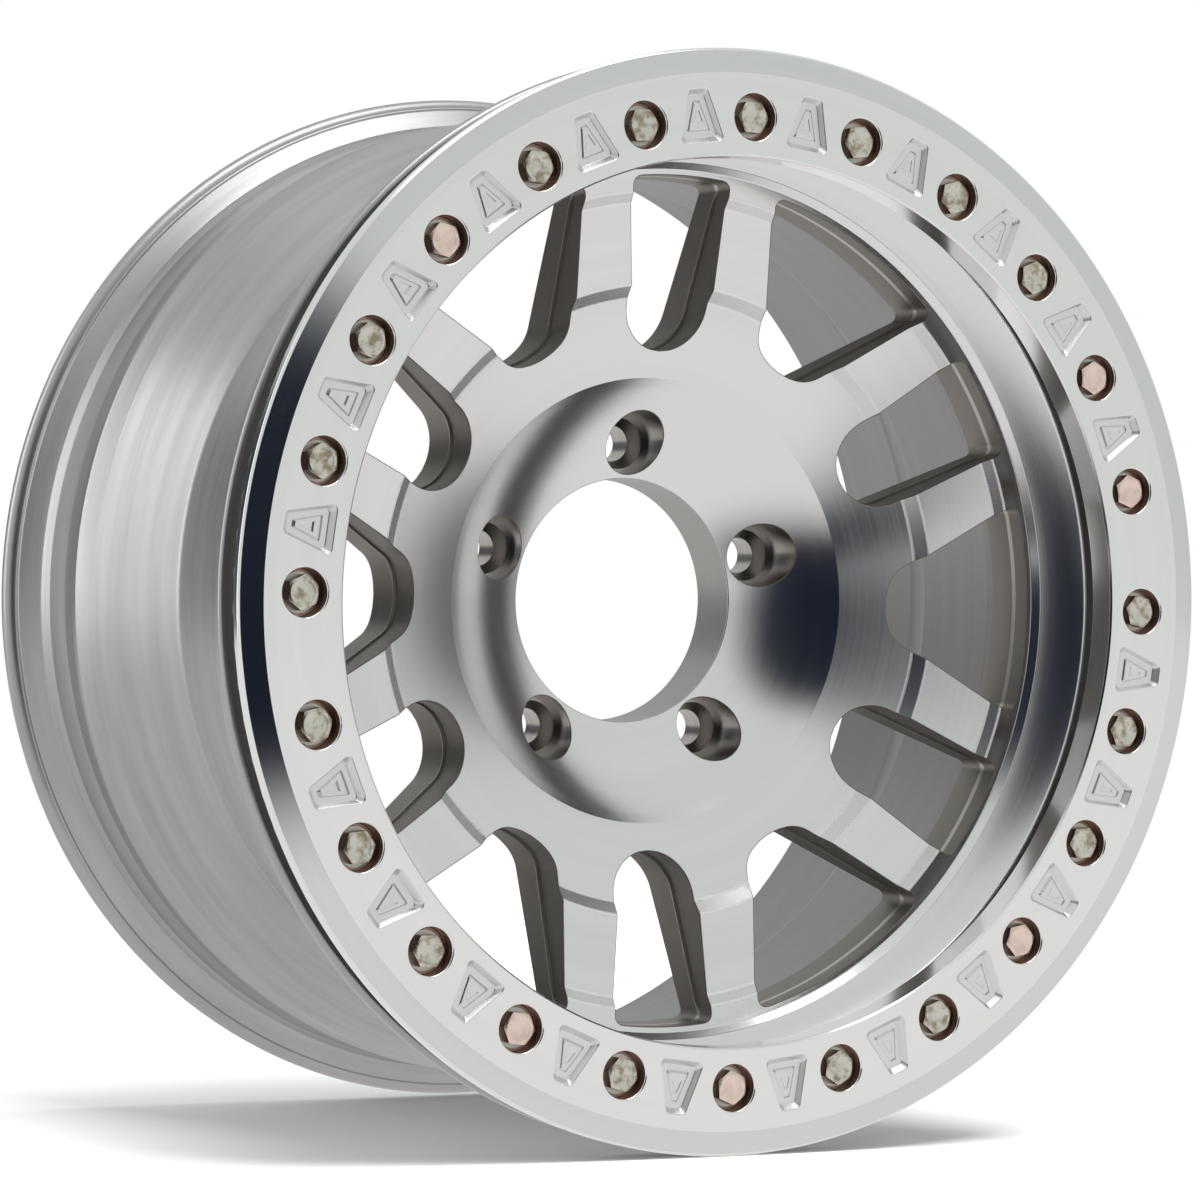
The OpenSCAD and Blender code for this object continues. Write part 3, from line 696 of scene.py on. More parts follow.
def buildRingSector(s, kind):
    surface = startSurface(ringZones)
    n = s["sideSteps"]
    halfAngle = s["boltHalfAngle"] if kind == "bolt" else 7.5 - s["boltHalfAngle"]
    angles = [-halfAngle + 2 * halfAngle * k / n for k in range(n + 1)]
    addGrid(surface, sectorBack(s, angles), "face")
    # the outer bevel gets a zone of its own, painted darker than the face as painted shade
    changeZone(surface, "face", s["bevelR"] - 0.05, s["outerR"], "bevel", s["bevelDrop"] + 0.1)
    border = sectorBorder(s, halfAngle)
    if kind == "plain":
        radii = [s["sectorInR"] + (s["sectorOutR"] - s["sectorInR"]) * k / n for k in range(n + 1)]
        addGrid(surface, [[(r, a, 0.0, 0.0, 0.0, -1.0) for a in angles] for r in radii], "face")
        return surface
    if kind == "bolt":
        turns = [math.radians(-135 + 90 * k / n) for k in range(4 * n)]

        def circle(r):
            return [(r * math.cos(t), s["boltR"] + r * math.sin(t)) for t in turns]
        r, c, deep = s["boreR"], s["boreChamfer"], s["boreDeep"]
        addGrid(surface, loopRows([(border, 0, 0), (circle(r + c + 0.15), 0, 0),
                                   (circle(r + c - 0.02), 0.06, 30), (circle(r + 0.06), c, 60),
                                   (circle(r), c + 0.15, 90)]), "face")
        addGrid(surface, loopRows([(circle(r), c + 0.15, 90), (circle(r), deep - 0.3, 90),
                                   (circle(r - 0.3), deep, 0), (circle(3.0), deep, 0)]), "counterbore")
        addGrid(surface, loopRows([(circle(3.0), deep, 0), (circle(0.0), deep, 0)]), "counterbore")
        return surface
    c, halfH = s["pocketCorner"], s["pocketHalfH"]
    inHalf, outHalf, midR = s["pocketHalfIn"] - c, s["pocketHalfOut"] - c, s["pocketMidR"]
    quad = [(-inHalf, c - halfH), (inHalf, c - halfH), (outHalf, halfH - c), (-outHalf, halfH - c)]
    rim = np.array(roundedOutline(quad, c, n))

    def sized(points, scale):
        return [(x * scale, midR + z * scale) for x, z in points]
    deep, small = s["pocketDeep"], s["floorScale"]
    wallLoops = [(border, 0, 0), (sized(rim, 1.03), 0, 0)]
    for share, lean in ((0, 15), (0.07, 35), (0.16, 50), (0.84, 50), (0.93, 30), (1.0, 8)):
        eased = share if 0.1 < share < 0.9 else share * (0.6 if share < 0.5 else 1)
        wallLoops.append((sized(rim, 1 + (small - 1) * share), deep * eased, lean))
    addGrid(surface, loopRows(wallLoops[:3]), "face")
    addGrid(surface, loopRows(wallLoops[2:]), "pocket")
    # the raised form on the pocket's floor, narrower outwards like the pocket
    formR, narrow = s["formCorner"], s["formHalfTop"]
    w, h = s["formHalfW"] - formR, s["formHalfH"] - formR
    form = np.array(roundedOutline([(-w, -h), (w, -h), (narrow, h), (-narrow, h)], formR, n))
    turns = np.arctan2(form[:, 1], form[:, 0])
    nearest = np.argmin(np.abs(turns - math.atan2(rim[0][1], rim[0][0])))
    form = np.roll(form, -nearest, axis=0)
    up, top = s["formH"], s["formTop"]
    floorLoops = [(sized(rim, small), deep, 8), (sized(rim, small - 0.03), deep, 0)]
    # each step's scale, the share of the form's height and the surface's lean there
    formSteps = ((1.05, 0, 0), (1.0, 0, -25), (0.95, 0.3, -45), (0.82, 1, -20), (0.78, 1, 0),
                 (top + 0.08, 1, 0), (top, 0.92, 30), (top * 0.8, 0.35, 20), (top * 0.7, 0.3, 0),
                 (0.0, 0.3, 0))
    floorLoops += [(sized(form, scale), deep - up * share, lean) for scale, share, lean in formSteps]
    addGrid(surface, loopRows(floorLoops), "pocket")
    return surface


def buildTooth(s):
    # one tooth, closed, let a little way into the ring's lip
    surface = startSurface(ringZones)
    half, h, sunk = s["toothW"] / 2, s["toothH"], 0.4
    arcR = (half ** 2 + h ** 2) / (2 * h)
    reach = math.asin(half / arcR)
    base = s["lipThick"]
    steps = 10
    profile = []
    for k in range(steps + 1):
        t = -reach + 2 * reach * k / steps
        profile.append((arcR * math.sin(t), base + h - arcR + arcR * math.cos(t), math.sin(t), math.cos(t)))
    r0, r1, c = s["toothInR"], s["toothOutR"], 0.5
    bottom, middle = base - sunk, base + h / 3
    rows, unders = [], []
    for r, shrink in ((r0, c), (r0 + c, 0), (r1 - c, 0), (r1, c)):
        low, wide = 1 - shrink / h, half - shrink
        rows.append([placeCorner(x * (1 - shrink / half), r, base + (d - base) * low, nx, 0.0, nd)
                     for x, d, nx, nd in profile])
        under = ((wide, base, 1, 0), (wide, bottom, 1, -1), (-wide, bottom, -1, -1), (-wide, base, -1, 0))
        unders.append([placeCorner(x, r, d, nx, 0.0, nd) for x, d, nx, nd in under])
    addGrid(surface, rows, "teeth")
    addGrid(surface, unders, "teeth", flat=True)
    for k, side in ((0, -1.0), (-1, 1.0)):
        loop = [(r, a, d, side, 0.0, 0.0) for r, a, d, *_ in rows[k] + unders[k][1:3] + rows[k][:1]]
        centre = [(rows[k][steps // 2][0], 0.0, middle, side, 0.0, 0.0)] * len(loop)
        addGrid(surface, [loop, centre], "teeth", flat=True)
    return surface


# The ring's bolts: a hexagon head with turned-off corners and a slightly hollow top

boltSizes = {
    "circleR": 206.0, "count": 24, "turnStep": 37.0, "flats": 13.0, "headH": 5.3, "seatIn": 6.5,
    "topShare": 0.93, "chamferSlope": 0.5, "hollow": 0.25, "shankR": 4.0, "shankL": 25.0, "tipBevel": 1.0,
    "roseBolts": (5, 6, 10, 13, 15, 22),
}


def buildBolt(s):
    # its normals only say which side is outside; the edges are made sharp by their angle
    surface = startSurface(boltZones)
    count = 48
    turns = [2 * math.pi * k / count for k in range(count + 1)]
    flat, corner = s["flats"] / 2, s["flats"] / 2 / math.cos(math.pi / 6)
    top, high, low = flat * s["topShare"], s["seatIn"] - s["headH"], s["seatIn"]
    shank, end, bevel = s["shankR"], s["seatIn"] + s["shankL"], s["tipBevel"]

    def hexagon(t):
        return min(flat / math.cos(t % (math.pi / 3) - math.pi / 6), corner - 0.12)

    def under(t):
        return high + 0.06 + (hexagon(t) - top) * s["chamferSlope"]
    # each step's radius, depth and lean; the two in the middle follow the hexagon
    def plain(radius, depth):
        return lambda t: (radius, depth)

    steps = [
        (plain(0.0, high + s["hollow"]), 0), (plain(top - 1.7, high + s["hollow"]), 0),
        (plain(top - 1.0, high + 0.05), 0), (plain(top - 0.8, high), 0), (plain(top - 0.15, high), 20),
        (plain(top, high + 0.06), 30),
        (lambda t: (hexagon(t), under(t)), 60), (lambda t: (hexagon(t), low), 135),
        (plain(shank, low), 135), (plain(shank, end - bevel), 100), (plain(shank - bevel, end), 160),
        (plain(0.0, end), 180),
    ]
    rows = []
    for place, lean in steps:
        out, down = math.sin(math.radians(lean)), -math.cos(math.radians(lean))
        row = []
        for t in turns:
            radius, depth = place(t)
            row.append(placeCorner(radius * math.cos(t), s["circleR"] + radius * math.sin(t), depth,
                                   out * math.cos(t), out * math.sin(t), down))
        rows.append(row)
    addGrid(surface, rows[:7], "head")
    addGrid(surface, rows[6:], "side")
    surface["points"] = [(x, y, z - s["circleR"]) for x, y, z in surface["points"]]
    return surface


# Geometry Nodes: one sector or one bolt repeated round the wheel's axis

def linkUp(tree, pairs):
    for start, end in pairs:
        tree.links.new(start, end)


def mathNode(tree, operation, first, second=None, third=None):
    made = tree.nodes.new("ShaderNodeMath")
    made.operation = operation
    for k, value in enumerate((first, second, third)):
        if isinstance(value, (int, float)):
            made.inputs[k].default_value = value
        elif value is not None:
            tree.links.new(value, made.inputs[k])
    return made.outputs[0]


def makeRepeatTree():
    tree = bpy.data.node_groups.new("repeatRound", "GeometryNodeTree")
    sockets = {}
    for name, kind, value in (
            ("Shape", "Geometry", None), ("Count", "Int", 6), ("First angle", "Float", 0.0),
            ("Radius", "Float", 0.0), ("Own turn", "Float", 0.0), ("Skip period", "Int", 1),
            ("Skip at", "Int", 1), ("Metal", "Material", None)):
        made = tree.interface.new_socket(name, in_out="INPUT", socket_type="NodeSocket" + kind)
        if value is not None:
            made.default_value = value
        sockets[name] = made.identifier
    tree.interface.new_socket("Whole", in_out="OUTPUT", socket_type="NodeSocketGeometry")
    n = tree.nodes
    given, out = n.new("NodeGroupInput"), n.new("NodeGroupOutput")
    points, place = n.new("GeometryNodePoints"), n.new("GeometryNodeInstanceOnPoints")
    index = n.new("GeometryNodeInputIndex").outputs[0]
    step = mathNode(tree, "DIVIDE", 2 * math.pi, given.outputs["Count"])
    angle = mathNode(tree, "ADD", mathNode(tree, "MULTIPLY", step, index), given.outputs["First angle"])
    spin = mathNode(tree, "ADD", angle, mathNode(tree, "MULTIPLY", index, given.outputs["Own turn"]))
    spot, turn = n.new("ShaderNodeCombineXYZ"), n.new("ShaderNodeCombineXYZ")
    across = mathNode(tree, "MULTIPLY", mathNode(tree, "SINE", angle), given.outputs["Radius"])
    upward = mathNode(tree, "MULTIPLY", mathNode(tree, "COSINE", angle), given.outputs["Radius"])
    inPeriod = mathNode(tree, "MODULO", index, given.outputs["Skip period"])
    apart = mathNode(tree, "ABSOLUTE", mathNode(tree, "SUBTRACT", inPeriod, given.outputs["Skip at"]))
    kept = mathNode(tree, "GREATER_THAN", apart, 0.5)
    number = n.new("GeometryNodeStoreNamedAttribute")
    number.data_type, number.domain = "FLOAT", "INSTANCE"
    number.inputs["Name"].default_value = "number"
    real, paint = n.new("GeometryNodeRealizeInstances"), n.new("GeometryNodeSetMaterial")
    linkUp(tree, [
        (given.outputs["Count"], points.inputs["Count"]), (across, spot.inputs["X"]),
        (upward, spot.inputs["Z"]), (spot.outputs[0], points.inputs["Position"]), (spin, turn.inputs["Y"]),
        (points.outputs[0], place.inputs["Points"]), (kept, place.inputs["Selection"]),
        (given.outputs["Shape"], place.inputs["Instance"]), (turn.outputs[0], place.inputs["Rotation"]),
        (place.outputs[0], number.inputs["Geometry"]), (index, number.inputs["Value"]),
        (number.outputs[0], real.inputs[0]), (real.outputs[0], paint.inputs["Geometry"]),
        (given.outputs["Metal"], paint.inputs["Material"]), (paint.outputs[0], out.inputs[0]),
    ])
    return tree, sockets


def repeatRound(surface, name, values):
    source = surfaceToObject(surface, name)
    modifier = source.modifiers.new("repeat", "NODES")
    modifier.node_group = repeatTree
    for key, value in values.items():
        modifier[repeatSockets[key]] = value
    bpy.context.view_layer.update()
    graph = bpy.context.evaluated_depsgraph_get()
    mesh = bpy.data.meshes.new_from_object(source.evaluated_get(graph), depsgraph=graph)
    source.modifiers.remove(modifier)
    source.data = mesh
    return source


def joinParts(parts, name):
    # one mesh from several, its seams closed
    bpy.ops.object.select_all(action="DESELECT")
    for part in parts:
        part.select_set(True)
    bpy.context.view_layer.objects.active = parts[0]
    if len(parts) > 1:
        bpy.ops.object.join()
    whole = bpy.context.view_layer.objects.active
    whole.select_set(False)
    whole.name = whole.data.name = name
    build = bmesh.new()
    build.from_mesh(whole.data)
    bmesh.ops.remove_doubles(build, verts=build.verts, dist=0.000004)
    bmesh.ops.dissolve_degenerate(build, edges=build.edges, dist=0.0000005)
    loose = sum(1 for edge in build.edges if len(edge.link_faces) != 2)
    build.to_mesh(whole.data)
    build.free()
    print(name + ":", len(whole.data.polygons), "faces,", loose, "open edges")
    return whole


def setTurnedNormals(obj):
    # normals kept as radial, sideways and depth parts become real ones at each corner's own place
    mesh = obj.data
    count = len(mesh.loops)
    parts, spots = np.zeros(count * 3), np.zeros(len(mesh.vertices) * 3)
    ids = np.zeros(count, np.int32)
    mesh.attributes["turnedNormal"].data.foreach_get("vector", parts)
    mesh.loops.foreach_get("vertex_index", ids)
    mesh.vertices.foreach_get("co", spots)
    parts, spots = parts.reshape(-1, 3), spots.reshape(-1, 3)[ids]
    a = np.arctan2(spots[:, 0], spots[:, 2])
    normals = np.stack([parts[:, 0] * np.sin(a) + parts[:, 1] * np.cos(a), parts[:, 2],
                        parts[:, 0] * np.cos(a) - parts[:, 1] * np.sin(a)], axis=1)
    size = np.linalg.norm(normals, axis=1)
    for polygon in mesh.polygons:
        for k in polygon.loop_indices:
            if size[k] < 0.5:
                normals[k], size[k] = polygon.normal, 1
    normals /= size[:, None]
    mesh.shade_smooth()
    mesh.normals_split_custom_set([tuple(n) for n in normals])
    mesh.attributes.remove(mesh.attributes["turnedNormal"])


def setZoneMaterials(obj, metals):
    mesh = obj.data
    zones = np.zeros(len(mesh.polygons), np.int32)
    mesh.attributes["zone"].data.foreach_get("value", zones)
    mesh.materials.clear()
    for metal in metals:
        mesh.materials.append(metal)
    mesh.polygons.foreach_set("material_index", zones)
    mesh.attributes.remove(mesh.attributes["zone"])


# Shader node groups: each gives a value between 0 and 1 from the object's coordinates

def newShaderGroup(name, inputs, output):
    tree = bpy.data.node_groups.new(name, "ShaderNodeTree")
    for label, kind, value in inputs:
        made = tree.interface.new_socket(label, in_out="INPUT", socket_type=kind)
        if value is not None:
            made.default_value = value
    tree.interface.new_socket(output, in_out="OUTPUT", socket_type="NodeSocketFloat")
    return tree, tree.nodes.new("NodeGroupInput"), tree.nodes.new("NodeGroupOutput")


def noiseNode(tree, vector, scale, detail=3.0, roughness=0.55):
    made = tree.nodes.new("ShaderNodeTexNoise")
    made.inputs["Detail"].default_value = detail
    made.inputs["Roughness"].default_value = roughness
    tree.links.new(vector, made.inputs["Vector"])
    if isinstance(scale, (int, float)):
        made.inputs["Scale"].default_value = scale
    else:
        tree.links.new(scale, made.inputs["Scale"])
    return made.outputs[0]


def makeToolMarks():
    # the rings a lathe leaves: noise over the distance from the axis, a little different all round
    tree, given, out = newShaderGroup("toolMarks", [
        ("Vector", "NodeSocketVector", None), ("Rings per metre", "NodeSocketFloat", 900.0),
        ("Along axis", "NodeSocketFloat", 1.0), ("Change round", "NodeSocketFloat", 4.0)], "Rings")
    split, spot = tree.nodes.new("ShaderNodeSeparateXYZ"), tree.nodes.new("ShaderNodeCombineXYZ")
    tree.links.new(given.outputs["Vector"], split.inputs[0])
    x, y, z = split.outputs
    radius = mathNode(tree, "SQRT", mathNode(tree, "ADD", mathNode(tree, "MULTIPLY", x, x),
                                             mathNode(tree, "MULTIPLY", z, z)))
    path = mathNode(tree, "ADD", radius, mathNode(tree, "MULTIPLY", y, given.outputs["Along axis"]))
    linkUp(tree, [(mathNode(tree, "MULTIPLY", path, given.outputs["Rings per metre"]), spot.inputs["X"]),
                  (mathNode(tree, "MULTIPLY", x, given.outputs["Change round"]), spot.inputs["Y"]),
                  (mathNode(tree, "MULTIPLY", z, given.outputs["Change round"]), spot.inputs["Z"])])
    linkUp(tree, [(noiseNode(tree, spot.outputs[0], 1.0, 2.0, 0.6), out.inputs[0])])
    return tree


def makeWear():
    # smudges and dull patches from handling
    tree, given, out = newShaderGroup("handlingWear", [
        ("Vector", "NodeSocketVector", None), ("Patches per metre", "NodeSocketFloat", 14.0),
        ("Share", "NodeSocketFloat", 0.5)], "Worn")
    patches = noiseNode(tree, given.outputs["Vector"], given.outputs["Patches per metre"], 6.0, 0.62)
    level = tree.nodes.new("ShaderNodeMapRange")
    level.interpolation_type = "SMOOTHSTEP"
    # the larger the share, the lower the noise that already counts as worn
    for limit, without in (("From Min", 0.95), ("From Max", 1.15)):
        lowered = mathNode(tree, "MULTIPLY", given.outputs["Share"], 0.6)
        tree.links.new(mathNode(tree, "SUBTRACT", without, lowered), level.inputs[limit])
    linkUp(tree, [(patches, level.inputs["Value"]), (level.outputs[0], out.inputs[0])])
    return tree


def makeGrain():
    # the fine unevenness of a surface that was cast or blasted
    tree, given, out = newShaderGroup("metalGrain", [
        ("Vector", "NodeSocketVector", None), ("Grains per metre", "NodeSocketFloat", 1400.0)], "Grain")
    linkUp(tree, [(noiseNode(tree, given.outputs["Vector"], given.outputs["Grains per metre"], 4.0, 0.7),
                   out.inputs[0])])
    return tree


def groupNode(tree, group, vector, values):
    made = tree.nodes.new("ShaderNodeGroup")
    made.node_tree = group
    tree.links.new(vector, made.inputs["Vector"])
    for key, value in values.items():
        made.inputs[key].default_value = value
    return made.outputs[0]


def mixColour(tree, share, first, second):
    made = tree.nodes.new("ShaderNodeMix")
    made.data_type = "RGBA"
    tree.links.new(share, made.inputs[0])
    for k, value in ((6, first), (7, second)):
        if isinstance(value, tuple):
            made.inputs[k].default_value = (*value, 1)
        else:
            tree.links.new(value, made.inputs[k])
    return made.outputs[2]


# what every metal has unless its own look says otherwise
plainMetal = {
    "metallic": 1.0, "ringsPerMetre": 900.0, "bandsPerMetre": 120.0, "alongAxis": 1.0, "changeRound": 4.0,
    "patchesPerMetre": 14.0, "wornShare": 0.5, "wornRough": 0.08, "grainsPerMetre": 1400.0,
    "grainHeight": 0.0, "ringTone": 0.06, "ringRough": 0.06, "ringHeight": 0.5, "bandShare": 0.5,
    "bump": 0.3, "bumpDistance": 0.0001,
}


def makeMetal(name, changes):
    # bare metal: tool marks, grain and handling change its colour, its shine and its surface
    look = {**plainMetal, "wornColour": changes["colour"], **changes}
    material = bpy.data.materials.new(name)
    material.use_nodes = True
    tree = material.node_tree
    shader = tree.nodes["Principled BSDF"]
    shader.inputs["Metallic"].default_value = look["metallic"]
    place = tree.nodes.new("ShaderNodeTexCoord").outputs["Object"]
    marks = {"Along axis": look["alongAxis"], "Change round": look["changeRound"]}
    rings, broad = (groupNode(tree, toolMarks, place, {"Rings per metre": look[key], **marks})
                    for key in ("ringsPerMetre", "bandsPerMetre"))
    worn = groupNode(tree, handlingWear, place, {"Patches per metre": look["patchesPerMetre"],
                                                 "Share": look["wornShare"]})
    grain = groupNode(tree, metalGrain, place, {"Grains per metre": look["grainsPerMetre"]})
    colour = mixColour(tree, worn, look["colour"], look["wornColour"])
    darker = tuple(v * (1 - look["ringTone"]) for v in look["colour"])
    toned = mathNode(tree, "MULTIPLY", mathNode(tree, "SUBTRACT", broad, 0.35), 2.2)
    clamp = tree.nodes.new("ShaderNodeClamp")
    tree.links.new(toned, clamp.inputs[0])
    share = mathNode(tree, "MULTIPLY", clamp.outputs[0], look["bandShare"])
    colour = mixColour(tree, share, colour, darker)
    if "spots" in look:
        colour = look["spots"](tree, colour)
    rough = mathNode(tree, "MULTIPLY_ADD", rings, look["ringRough"], look["roughness"])
    rough = mathNode(tree, "MULTIPLY_ADD", worn, look["wornRough"], rough)
    height = mathNode(tree, "MULTIPLY_ADD", grain, look["grainHeight"],
                      mathNode(tree, "MULTIPLY", rings, look["ringHeight"]))
    bump = tree.nodes.new("ShaderNodeBump")
    bump.inputs["Strength"].default_value = look["bump"]
    bump.inputs["Distance"].default_value = look["bumpDistance"]
    linkUp(tree, [(height, bump.inputs["Height"]), (bump.outputs[0], shader.inputs["Normal"]),
                  (rough, shader.inputs["Roughness"]), (colour, shader.inputs["Base Color"])])
    return material


toolMarks, handlingWear, metalGrain = makeToolMarks(), makeWear(), makeGrain()
repeatTree, repeatSockets = makeRepeatTree()

wheelLooks = {
    "machined": {"colour": (0.80, 0.80, 0.795), "wornColour": (0.77, 0.77, 0.765), "roughness": 0.13,
                 "ringTone": 0.1, "ringRough": 0.06, "bump": 0.12, "bumpDistance": 0.00005,
                 "wornRough": 0.04},
    "lip": {"colour": (0.8, 0.79, 0.785), "wornColour": (0.76, 0.75, 0.745), "roughness": 0.19,
            "ringTone": 0.1, "alongAxis": 1.5, "bump": 0.15, "bumpDistance": 0.00006,
            "wornRough": 0.05},
    # painted shade: the steps are painted a little darker than the faces beside them
    "step": {"colour": (0.73, 0.73, 0.73), "roughness": 0.24, "ringTone": 0.1, "bump": 0.12,
             "bumpDistance": 0.00005},
    # painted highlight: the steps' edge lines are painted near white
    "edgeLine": {"colour": (0.96, 0.96, 0.96), "roughness": 0.42, "ringTone": 0.03, "bump": 0.05},
    # painted highlight: the raised line on the walls is painted lighter than them
    "rib": {"colour": (0.5, 0.47, 0.44), "wornColour": (0.3, 0.28, 0.26), "roughness": 0.35,
            "grainHeight": 0.6, "ringHeight": 0.0, "bandShare": 0.0, "patchesPerMetre": 30.0},
    "windowWall": {"colour": (0.3, 0.275, 0.255), "wornColour": (0.42, 0.39, 0.365), "roughness": 0.48,
                   "grainHeight": 1.0, "ringHeight": 0.0, "bandShare": 0.0, "bump": 0.6,
                   "bumpDistance": 0.0002, "patchesPerMetre": 40.0},
    "back": {"colour": (0.42, 0.41, 0.40), "wornColour": (0.34, 0.33, 0.32), "roughness": 0.42,
             "grainHeight": 0.8, "ringHeight": 0.2, "bump": 0.4, "bumpDistance": 0.0002},
    "barrel": {"colour": (0.46, 0.455, 0.45), "wornColour": (0.41, 0.365, 0.33), "roughness": 0.3,
               "ringsPerMetre": 500.0, "bandsPerMetre": 60.0, "ringTone": 0.25, "bandShare": 0.8,
               "alongAxis": 1.7, "changeRound": 9.0, "ringRough": 0.12, "bump": 0.35,
               "bumpDistance": 0.00012, "patchesPerMetre": 9.0, "wornRough": 0.14},
    "inside": {"colour": (0.33, 0.325, 0.32), "wornColour": (0.29, 0.285, 0.28), "roughness": 0.4,
               "ringsPerMetre": 500.0, "bandsPerMetre": 70.0, "ringTone": 0.12, "bandShare": 0.6,
               "alongAxis": 1.7, "changeRound": 6.0, "bump": 0.3, "bumpDistance": 0.00012},
    "socket": {"colour": (0.45, 0.425, 0.405), "roughness": 0.22, "ringsPerMetre": 1500.0,
               "alongAxis": 3.0, "ringTone": 0.35, "bump": 0.5},
    "bore": {"colour": (0.42, 0.41, 0.4), "roughness": 0.38, "ringsPerMetre": 1200.0,
             "alongAxis": 3.0},
}
ringLooks = {
    "face": {"colour": (0.86, 0.86, 0.855), "wornColour": (0.83, 0.83, 0.825), "roughness": 0.12,
             "ringTone": 0.08, "ringRough": 0.05, "bump": 0.1, "bumpDistance": 0.00005,
             "wornRough": 0.03},
    # painted shade: the bevel is the same metal as the face, painted darker
    "bevel": {"colour": (0.74, 0.745, 0.74), "wornColour": (0.71, 0.71, 0.705), "roughness": 0.13,
              "ringTone": 0.08, "ringRough": 0.05, "bump": 0.1, "bumpDistance": 0.00005,
              "wornRough": 0.03},
    "counterbore": {"colour": (0.42, 0.3, 0.25), "wornColour": (0.55, 0.38, 0.29), "roughness": 0.25,
                    "patchesPerMetre": 60.0},
    "pocket": {"colour": (0.8, 0.8, 0.8), "roughness": 0.28, "ringHeight": 0.1, "bandShare": 0.2,
               "bump": 0.1},
    # painted shade: the teeth, of the ring's own metal, are painted dark grey
    "teeth": {"colour": (0.3, 0.28, 0.27), "roughness": 0.4, "grainHeight": 0.6},
}
boltLooks = {
    "head": {"colour": (0.66, 0.645, 0.58), "wornColour": (0.34, 0.28, 0.2), "roughness": 0.22,
             "patchesPerMetre": 190.0, "wornShare": 0.85, "grainHeight": 0.8, "ringHeight": 0.0,
             "bandShare": 0.0, "bump": 0.5, "bumpDistance": 0.00015},
    "side": {"colour": (0.36, 0.25, 0.2), "wornColour": (0.5, 0.38, 0.32), "roughness": 0.3,
             "patchesPerMetre": 120.0, "ringHeight": 0.0, "bandShare": 0.0},
    "washer": {"colour": (0.5, 0.49, 0.46), "wornColour": (0.34, 0.27, 0.23), "roughness": 0.28,
               "patchesPerMetre": 90.0, "bandShare": 0.0},
    "roseColour": (0.94, 0.71, 0.65), "roseShare": 0.75,
}


def addRose(tree, colour):
    # some heads have a rose sheen, told apart by a number kept on the mesh
    mark = tree.nodes.new("ShaderNodeAttribute")
    mark.attribute_name = "rose"
    share = mathNode(tree, "MULTIPLY", mark.outputs["Fac"], boltLooks["roseShare"])
    return mixColour(tree, share, colour, boltLooks["roseColour"])


boltLooks["head"]["spots"] = addRose

# The wheel: spokes and rim in six equal sectors, the hub with its lug holes in five

metals = {name: makeMetal("wheel_" + name, look) for name, look in wheelLooks.items()}
spokes = repeatRound(buildSpokes(wheelSizes), "spokes", {"Count": 6, "Metal": metals["machined"]})
hub = repeatRound(buildHub(wheelSizes), "hub", {"Count": 5, "Metal": metals["machined"]})
wheel = joinParts([spokes, hub], "wheel_body")
cutValveHole(wheel, wheelSizes["valve"])
setTurnedNormals(wheel)
setZoneMaterials(wheel, [metals["windowWall" if zone == "outerWall" else zone] for zone in wheelZones])
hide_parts("wheel")
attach(wheel, "root")

ringMetals = {name: makeMetal("ring_" + name, look) for name, look in ringLooks.items()}
face = ringMetals["face"]
halfPitch = math.pi / 24
toothCount = ringSizes["toothCount"]
ringParts = [
    repeatRound(buildRingSector(ringSizes, "bolt"), "ringBoltSectors", {"Count": 24, "Metal": face}),
    repeatRound(buildRingSector(ringSizes, "pocket"), "ringPocketSectors",
                {"Count": 24, "First angle": halfPitch, "Skip period": 12, "Skip at": 5, "Metal": face}),
    repeatRound(buildRingSector(ringSizes, "plain"), "ringPlainSectors",
                {"Count": 2, "First angle": 11 * halfPitch, "Metal": face}),
    repeatRound(buildTooth(ringSizes), "ringTeeth",
                {"Count": toothCount, "First angle": math.pi / toothCount, "Metal": face}),
]
ring = joinParts(ringParts, "bead_ring_body")
setTurnedNormals(ring)
setZoneMaterials(ring, [ringMetals[zone] for zone in ringZones])
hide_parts("bead_ring")
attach(ring, "root")

boltMetals = {name: makeMetal("bolt_" + name, boltLooks[name]) for name in ("head", "side", "washer")}
bolts = repeatRound(buildBolt(boltSizes), "ring_bolts_all",
                    {"Count": boltSizes["count"], "Radius": boltSizes["circleR"] / 1000,
                     "Own turn": math.radians(boltSizes["turnStep"]), "Metal": boltMetals["head"]})
bolts = joinParts([bolts], "ring_bolts_all")
bolts.data.attributes.remove(bolts.data.attributes["turnedNormal"])
bolts.data.shade_smooth()
bolts.data.set_sharp_from_angle(angle=math.radians(25))
numbers = bolts.data.attributes["number"]
rose = bolts.data.attributes.new("rose", "FLOAT", numbers.domain)
roseOnes = boltSizes["roseBolts"]
rose.data.foreach_set("value", [1.0 if round(v.value) + 1 in roseOnes else 0.0 for v in numbers.data])
setZoneMaterials(bolts, [boltMetals[zone] for zone in boltZones])
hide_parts(*[f"ring_bolt_{k:02d}" for k in range(1, 25)])
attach(bolts, "root")

for name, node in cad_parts.items():
    if name.startswith("bolt_washer"):
        for slot in node.material_slots:
            slot.material = boltMetals["washer"]
print("pieces made")

# The studio: a white floor and surroundings, lights, and three dark cards for the metal to mirror

